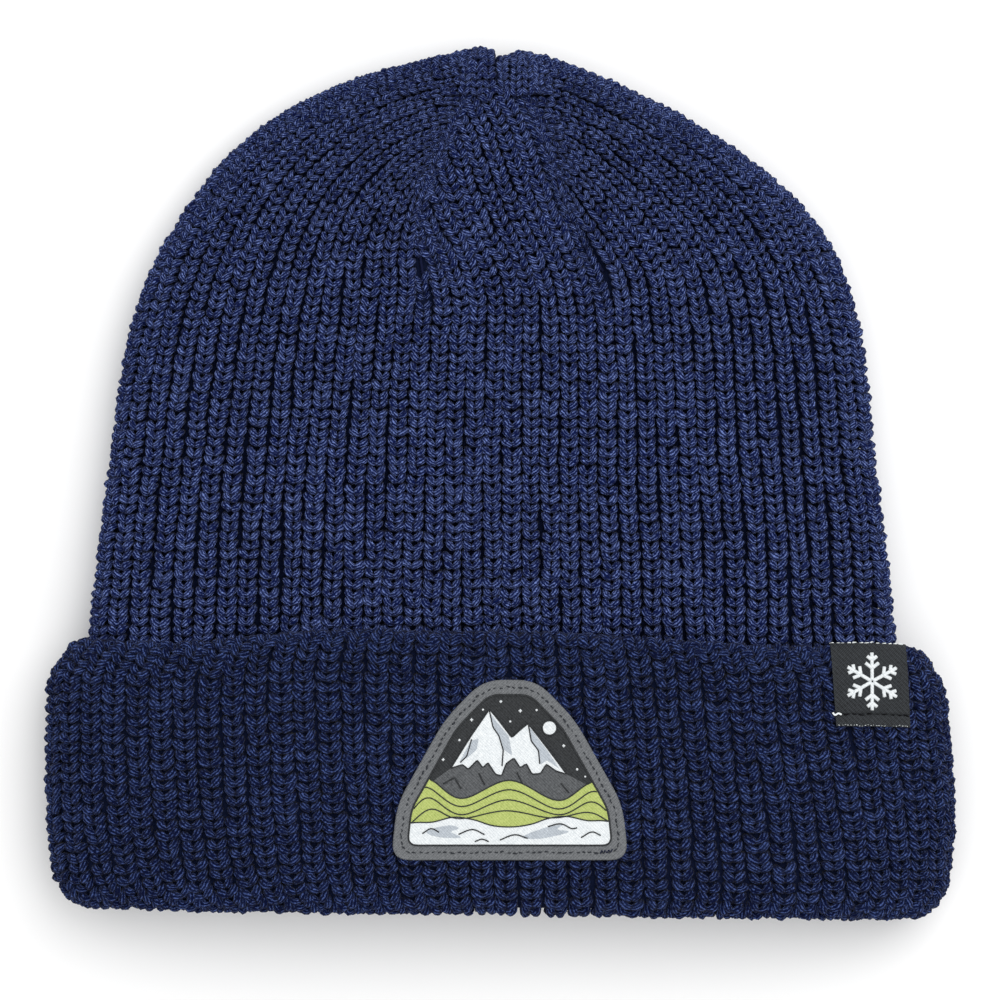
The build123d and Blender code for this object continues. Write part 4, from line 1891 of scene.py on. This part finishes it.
@dataclass
class SideTag:
    """The woven ribbon folded over the cuff's lip, in millimetres."""

    surface: CuffSurface
    left: float
    right: float
    foot_y: float
    behind_y: float = -56.0
    clear: float = 0.6
    thick: float = 0.6
    lean: Pair = (1.5, 0.9)
    crease_y: float = -57.7
    crease_depth: float = 0.45
    crease_width: float = 0.4
    crease_pitch: float = 1.9
    crease_thread: ThreadStitch = ThreadStitch(length=1.3, radius=0.20, bow=0.1)
    foot_rise: float = 0.35
    foot_pitch: float = 0.72
    foot_thread: ThreadStitch = ThreadStitch(length=0.30, radius=0.07, bow=0.1)
    selvedge_turn: float = math.radians(100.0)
    selvedge_pitch: float = 1.45
    selvedge_thread: ThreadStitch = ThreadStitch(length=1.05, radius=0.17, bow=0.08)
    loose_end: Pairs = ((0.4, 0.4), (1.0, -0.2), (1.8, 0.2), (2.6, -0.1))
    loose_radius: float = 0.24
    loose_lift: float = 0.25
    mark_middle: Pair = (92.0, -49.6)
    arm: float = 7.1
    line: float = 0.46
    twigs: Pairs = ((0.46, 0.30), (0.74, 0.22))
    twig_slope: Pair = (0.62, 0.78)

    def way(self, out: float) -> Array:
        """The ribbon's way as (Y, depth) at a distance out of the knit."""
        s = self.surface
        lip, lip_y = s.lip_radius, s.head_y - s.lip_radius
        reach = lip + out
        over = np.linspace(0.0, math.pi, 17)
        arc = columns(lip_y + reach * np.sin(over), lip + reach * np.cos(over))
        up = np.arange(self.behind_y, lip_y, 1.5)
        behind = columns(up, np.full(len(up), 2 * lip + out))
        down = np.arange(lip_y, self.level(self.foot_y), -0.35)[1:]
        crease = np.exp(-(((down - self.level(self.crease_y)) / self.crease_width) ** 2))
        return np.vstack([behind, arc, columns(down, self.crease_depth * crease - out)])

    def level(self, y: float) -> float:
        """The height along the cuff that ends up at y on the hat."""
        middle = (self.left + self.right) / 2
        path_y = y
        for _ in range(4):
            path_y += y - float(self.surface.lifted(middle, path_y))
        return path_y

    def at(self, x: float, y: float, lift: float) -> Array:
        """A point of the tag's front at (x, y), lifted off its face."""
        return self.surface.point(np.array([x]), self.level(y), -(self.clear + self.thick + lift))[0]

    def ribbon(self, material: Material) -> Object:
        """The folded ribbon as a closed strip."""
        outer, inner = self.way(self.clear + self.thick), self.way(self.clear)
        rings = []
        for (y1, d1), (y0, d0) in zip(outer, inner):
            share = np.clip((self.surface.head_y - y1) / (self.surface.head_y - self.foot_y), 0.0, 1.0)
            xs = np.linspace(self.left + self.lean[0] * share, self.right + self.lean[1] * share, 25)
            rings.append(np.vstack([self.surface.point(xs, y1, d1), self.surface.point(xs, y0, d0)[::-1]]))
        made = skin("side_tag_ribbon", rings, material, False)
        made.data.set_sharp_from_angle(angle=SHARP_ANGLE)
        return made

    def mark(self, material: Material) -> Object:
        """A plain snow crystal of six arms with side twigs."""
        strokes = []
        for turn in range(6):
            angle = math.radians(60 * turn + 90)
            ahead = np.array([math.cos(angle), math.sin(angle)])
            side = np.array([-ahead[1], ahead[0]])
            strokes.append([0.25 * ahead, self.arm * ahead])
            for share, reach in self.twigs:
                for hand in (-1, 1):
                    start = self.arm * share * ahead
                    slope = self.twig_slope[0] * ahead + hand * self.twig_slope[1] * side
                    strokes.append([start, start + self.arm * reach * slope])
        parts = []
        for stroke in strokes:
            plan = resampled(np.array(stroke), 0.6) + np.array(self.mark_middle)
            points = np.array([self.at(x, y, 0.0) for x, y in plan])
            parts.append(tube("stroke", points, np.full(len(points), self.line), 8, material))
        return joined("side_tag_crystal", parts)

    def row(self, y: float, pitch: float, lift: float) -> StitchRun:
        """Places for stitches across the tag's front.

        Args:
            y: The row's height on the hat.
            pitch: How far apart the stitches are.
            lift: How far off the tag's face they lie.

        Returns:
            The places.
        """
        xs = np.arange(self.left + self.lean[0] + 0.5, self.right + self.lean[1] * 0.8, pitch)
        places, nexts = (np.array([self.at(x + step, y, lift) for x in xs]) for step in (0.0, 0.5))
        ahead = unit(nexts - places)
        run = StitchRun()
        run.add(places, ahead, np.cross(ahead, (0.0, 1.0, 0.0)))
        return run

    def selvedge(self) -> StitchRun:
        """Places for a row of short stitches on the crest of the fold."""
        s = self.surface
        reach = s.lip_radius + self.clear + self.thick
        y = s.head_y - s.lip_radius + reach * math.sin(self.selvedge_turn)
        depth = s.lip_radius + reach * math.cos(self.selvedge_turn)
        xs = np.arange(self.left + 0.5, self.right - 0.3, self.selvedge_pitch)
        places = s.point(xs, y, depth)
        out = np.tile([0.0, math.sin(self.selvedge_turn - 0.5), 0.6], (len(xs), 1))
        run = StitchRun()
        run.add(places, unit(s.point(xs + 0.4, y, depth) - places), out)
        return run

    def threads(self, layer: StitchLayer, black: Material, white: Material) -> Object:
        """The sewing in the crease, the pale selvedge on the fold and along the foot, and a loose end."""
        crease = self.row(self.crease_y, self.crease_pitch, -self.crease_depth)
        foot = self.row(self.foot_y + self.foot_rise, self.foot_pitch, 0.0)
        rows = layer.lay("tag_crease", crease, self.crease_thread, black)
        rows += layer.lay("tag_foot", foot, self.foot_thread, white)
        rows += layer.lay("tag_selvedge", self.selvedge(), self.selvedge_thread, white)
        end = [(self.left + x, self.crease_y + y) for x, y in self.loose_end]
        points = np.array([self.at(x, y, self.loose_lift) for x, y in curved(end, False, 4)])
        rows.append(tube("loose_end", points, np.full(len(points), self.loose_radius), 6, white))
        return joined("side_tag_threads", rows)


@dataclass
class CrownThreads:
    """The threads that draw the crown's furrows in, and the yarn wound round its tip."""

    body: BodySurface
    sunk: float = 3.1
    radius: float = 0.42
    sides: int = 8
    tip: Triple = (0.8, 104.1, 9.5)
    tip_radius: float = 1.7
    tip_rise: float = 2.4
    tip_turns: float = 3.25
    tip_yarn: float = 0.55

    def seam(self, name: str, seam: SeamLine, face: Face, material: Material) -> Object:
        """One thread lying in its furrow."""
        ys = np.arange(seam.ys[0] + 0.5, seam.ys[-2], 1.0)
        line = self.body.on(seam.x(ys), ys, face) - (0.0, 0.0, face.value * self.sunk)
        made = tube(name, line, np.full(len(line), self.radius), self.sides, material, len(line) * 0.6)
        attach(made, ROOT)
        return made

    def knot(self, material: Material) -> Object:
        """A few turns of yarn wound round the gathered tip."""
        turn = np.linspace(0.0, 2 * math.pi * self.tip_turns, 78)
        x, y, z = self.tip
        line = columns(
            x + self.tip_radius * np.cos(turn),
            y + self.tip_rise * turn / turn[-1],
            z + self.tip_radius * np.sin(turn),
        )
        made = tube("crown_tip_yarn", line, np.full(len(line), self.tip_yarn), self.sides, material, 9.0)
        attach(made, ROOT)
        return made


# ---- studio
@dataclass
class Studio:
    """A white table under soft light, seen from straight above.

    Sizes are in metres, the lens and its sensor in millimetres and the lamps' powers in watts.
    """

    lens: float = 150.0
    sensor: float = 36.0
    frame_width: float = 0.250
    aim: Triple = (0.0, -0.00475, 0.016)
    table_half: float = 1.5
    table_tone: Triple = (0.985, 0.985, 0.985)
    key_power: float = 4.4
    fill_power: float = 2.6
    ambient: float = 0.80
    white: float = 1.0

    def table(self) -> None:
        """Builds the table, which keeps the object's shadow."""
        g = Graph("table_white")
        white = g.end(g.node("ShaderNodeBsdfDiffuse", {}, {"Color": colour(self.table_tone)}))
        corners = [(x, y, 0.0) for x, y in ((-1, -1), (1, -1), (1, 1), (-1, 1))]
        floor = mesh_object("table", np.array(corners) * self.table_half, [(0, 1, 2, 3)], white, smooth=False)

    def camera(self) -> None:
        """Places the camera."""
        data = bpy.data.cameras.new("camera")
        data.lens = self.lens
        data.sensor_width = self.sensor
        distance = self.frame_width * self.lens / self.sensor
        made = bpy.data.objects.new("camera", data)
        made.location = Vector(self.aim) + Vector((0.0, 0.0, distance))
        bpy.context.scene.collection.objects.link(made)
        bpy.context.scene.camera = made

    def lamp(self, name: str, place: Triple, size: float, power: float) -> None:
        """Hangs a lamp with a soft panel of a size and a power, facing the object."""
        data = bpy.data.lights.new(name, "AREA")
        data.size = size
        data.energy = power
        made = bpy.data.objects.new(name, data)
        made.location = place
        aim = Vector(self.aim) - Vector(place)
        made.rotation_euler = aim.to_track_quat("-Z", "Y").to_euler()
        bpy.context.scene.collection.objects.link(made)

    def world(self) -> None:
        """Lights everything evenly, on plain white where the camera sees past the table."""
        world = bpy.data.worlds.new("studio")
        bpy.context.scene.world = world
        world.use_nodes = True
        net = Net(world.node_tree)
        back = net.tree.nodes["Background"]
        seen = net.node("ShaderNodeLightPath", {}, {}, "Is Camera Ray")
        strength = seen * (self.white - self.ambient) + self.ambient
        net.tree.links.new(strength.socket, back.inputs["Strength"])
        back.inputs["Color"].default_value = (1.0, 1.0, 1.0, 1.0)

    def build(self) -> None:
        """Builds the table, lamps, world and camera."""
        self.table()
        self.camera()
        self.lamp("key", (0.30, 0.36, 0.80), 0.8, self.key_power)
        self.lamp("fill", (-0.1, -0.3, 1.4), 1.2, self.fill_power)
        self.world()
        bpy.context.scene.view_settings.view_transform = "Standard"


# ---- everything together
@dataclass
class Beanie:
    """The whole hat, from the frame's nodes."""

    nodes: dict[str, Object]
    seams_meet: Pair = (-0.8, 109.0)
    tip_half_width: float = 0.4

    def build(self) -> None:
        """Builds and dresses every piece."""
        tones = self.materials()
        layer = StitchLayer(Jitter())
        surface = self.body_surface()
        body = BodyKnit(surface).build(layer, tones["navy"], tones["shade"])
        self.dress(body, "knit_body")
        cuff_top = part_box("knit_cuff")[1][2] / MM
        cuff_surface = CuffSurface(Profile(self.nodes["knit_cuff"]), high=cuff_top)
        cuff = CuffKnit(cuff_surface).build(layer, tones["cuff"], tones["shade"])
        self.dress(cuff, "knit_cuff")
        self.crown(surface, tones)
        self.patch(Bed(cuff_surface), layer, tones)
        self.tag(cuff_surface, layer, tones)

    def materials(self) -> Tones:
        """Every finish of the hat by its short name."""
        finishes = {
            "navy": YarnFinish("navy_yarn"),
            # The cuff's yarn is the body's yarn painted darker, as the shade that lies on the cuff.
            "cuff": YarnFinish("navy_yarn_cuff", light=(0.295, 0.375, 0.605), dark=(0.008, 0.038, 0.175)),
            "shade": GroundFinish("navy_ground"),
            "grey": WovenFinish("grey_twill", (0.53, 0.54, 0.55), (0.25, 0.26, 0.275), slant=1.0),
            "black": WovenFinish("black_weave", (0.26, 0.27, 0.28), (0.03, 0.035, 0.04)),
            "rock": WovenFinish("charcoal_weave", (0.44, 0.45, 0.46), (0.16, 0.17, 0.18)),
            "green": WovenFinish("lime_weave", (0.80, 0.84, 0.52), (0.56, 0.63, 0.30)),
            "white": WovenFinish("white_weave", (0.99, 1.0, 1.0), (0.76, 0.79, 0.81)),
            "shadow": WovenFinish("pale_grey_weave", (0.80, 0.83, 0.86), (0.58, 0.61, 0.64)),
            "ribbon": WovenFinish(
                "black_ribbon", (0.22, 0.235, 0.25), (0.012, 0.014, 0.018), pitch=0.6 * MM, contrast=0.75
            ),
            "grey_thread": PlainFinish("grey_thread", (0.20, 0.21, 0.23)),
            "navy_thread": PlainFinish("navy_thread", (0.07, 0.09, 0.20)),
            "black_thread": PlainFinish("black_thread", (0.05, 0.05, 0.06)),
            "white_thread": PlainFinish("white_thread", (0.90, 0.92, 0.92)),
        }
        return {name: finish.material() for name, finish in finishes.items()}

    def seam_node(self, face: Face, side: Side) -> str:
        """The CAD node of a crown seam."""
        return f"crown_seam_{face.name.lower()}_{side.name.lower()}"

    def body_surface(self) -> BodySurface:
        """The body's surface, closed at the crown's tip."""
        profile = Profile(self.nodes["knit_body"])
        profile.close(BodySurface.tip_y, self.tip_half_width)
        seams = {
            face: {side: SeamLine(self.nodes[self.seam_node(face, side)]) for side in Side} for face in Face
        }
        for pair in seams.values():
            for seam in pair.values():
                seam.close(*self.seams_meet)
        return BodySurface(profile, seams)

    def dress(self, pieces: Sequence[Object], node: str) -> None:
        """Puts pieces in the place of a CAD node, and reports them."""
        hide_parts(node)
        for piece in pieces:
            LOG.info("%s: %d faces", piece.name, len(piece.data.polygons))

    def crown(self, surface: BodySurface, tones: Tones) -> None:
        """The crown's seams and its tip."""
        threads = CrownThreads(surface)
        for face, seams in surface.seams.items():
            for side, seam in seams.items():
                node = self.seam_node(face, side)
                made = threads.seam(node + "_thread", seam, face, tones["navy_thread"])
                self.dress([made], node)
        self.dress([threads.knot(tones["navy"])], "crown_closing_knot")

    def patch(self, bed: Bed, layer: StitchLayer, tones: Tones) -> None:
        """The patch on the cuff's front."""
        low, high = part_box("patch_ground")
        middle = ((low[0] + high[0]) / 2 / MM, (low[1] + high[1]) / 2 / MM)
        pieces = Patch(bed, middle).build(layer, tones)
        slots = {
            "patch_ground": "grey_twill",
            "patch_black_weave": "black_weave",
            "patch_white_weave": "white_weave",
            "patch_green_weave": "lime_weave",
            "patch_stitching": "grey_thread",
        }
        for node, slot in slots.items():
            self.dress([pieces[node]], node)
        ground = pieces.pop("patch_ground")

    def tag(self, surface: CuffSurface, layer: StitchLayer, tones: Tones) -> None:
        """The side tag on the cuff's lip."""
        low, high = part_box("side_tag")
        tag = SideTag(surface, low[0] / MM, high[0] / MM, low[1] / MM)
        ribbon = tag.ribbon(tones["ribbon"])
        mark = tag.mark(tones["white"])
        threads = tag.threads(layer, tones["black_thread"], tones["white_thread"])
        self.dress([ribbon], "side_tag")
        self.dress([mark], "side_tag_mark")
        self.dress([threads], "side_tag_stitching")


def main() -> None:
    """Builds the hat and the studio, and notes the sizes."""
    logging.basicConfig(level=logging.INFO, format="%(message)s")
    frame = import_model()
    Beanie(frame["nodes"]).build()
    Studio().build()


if __name__ == "__main__":
    main()
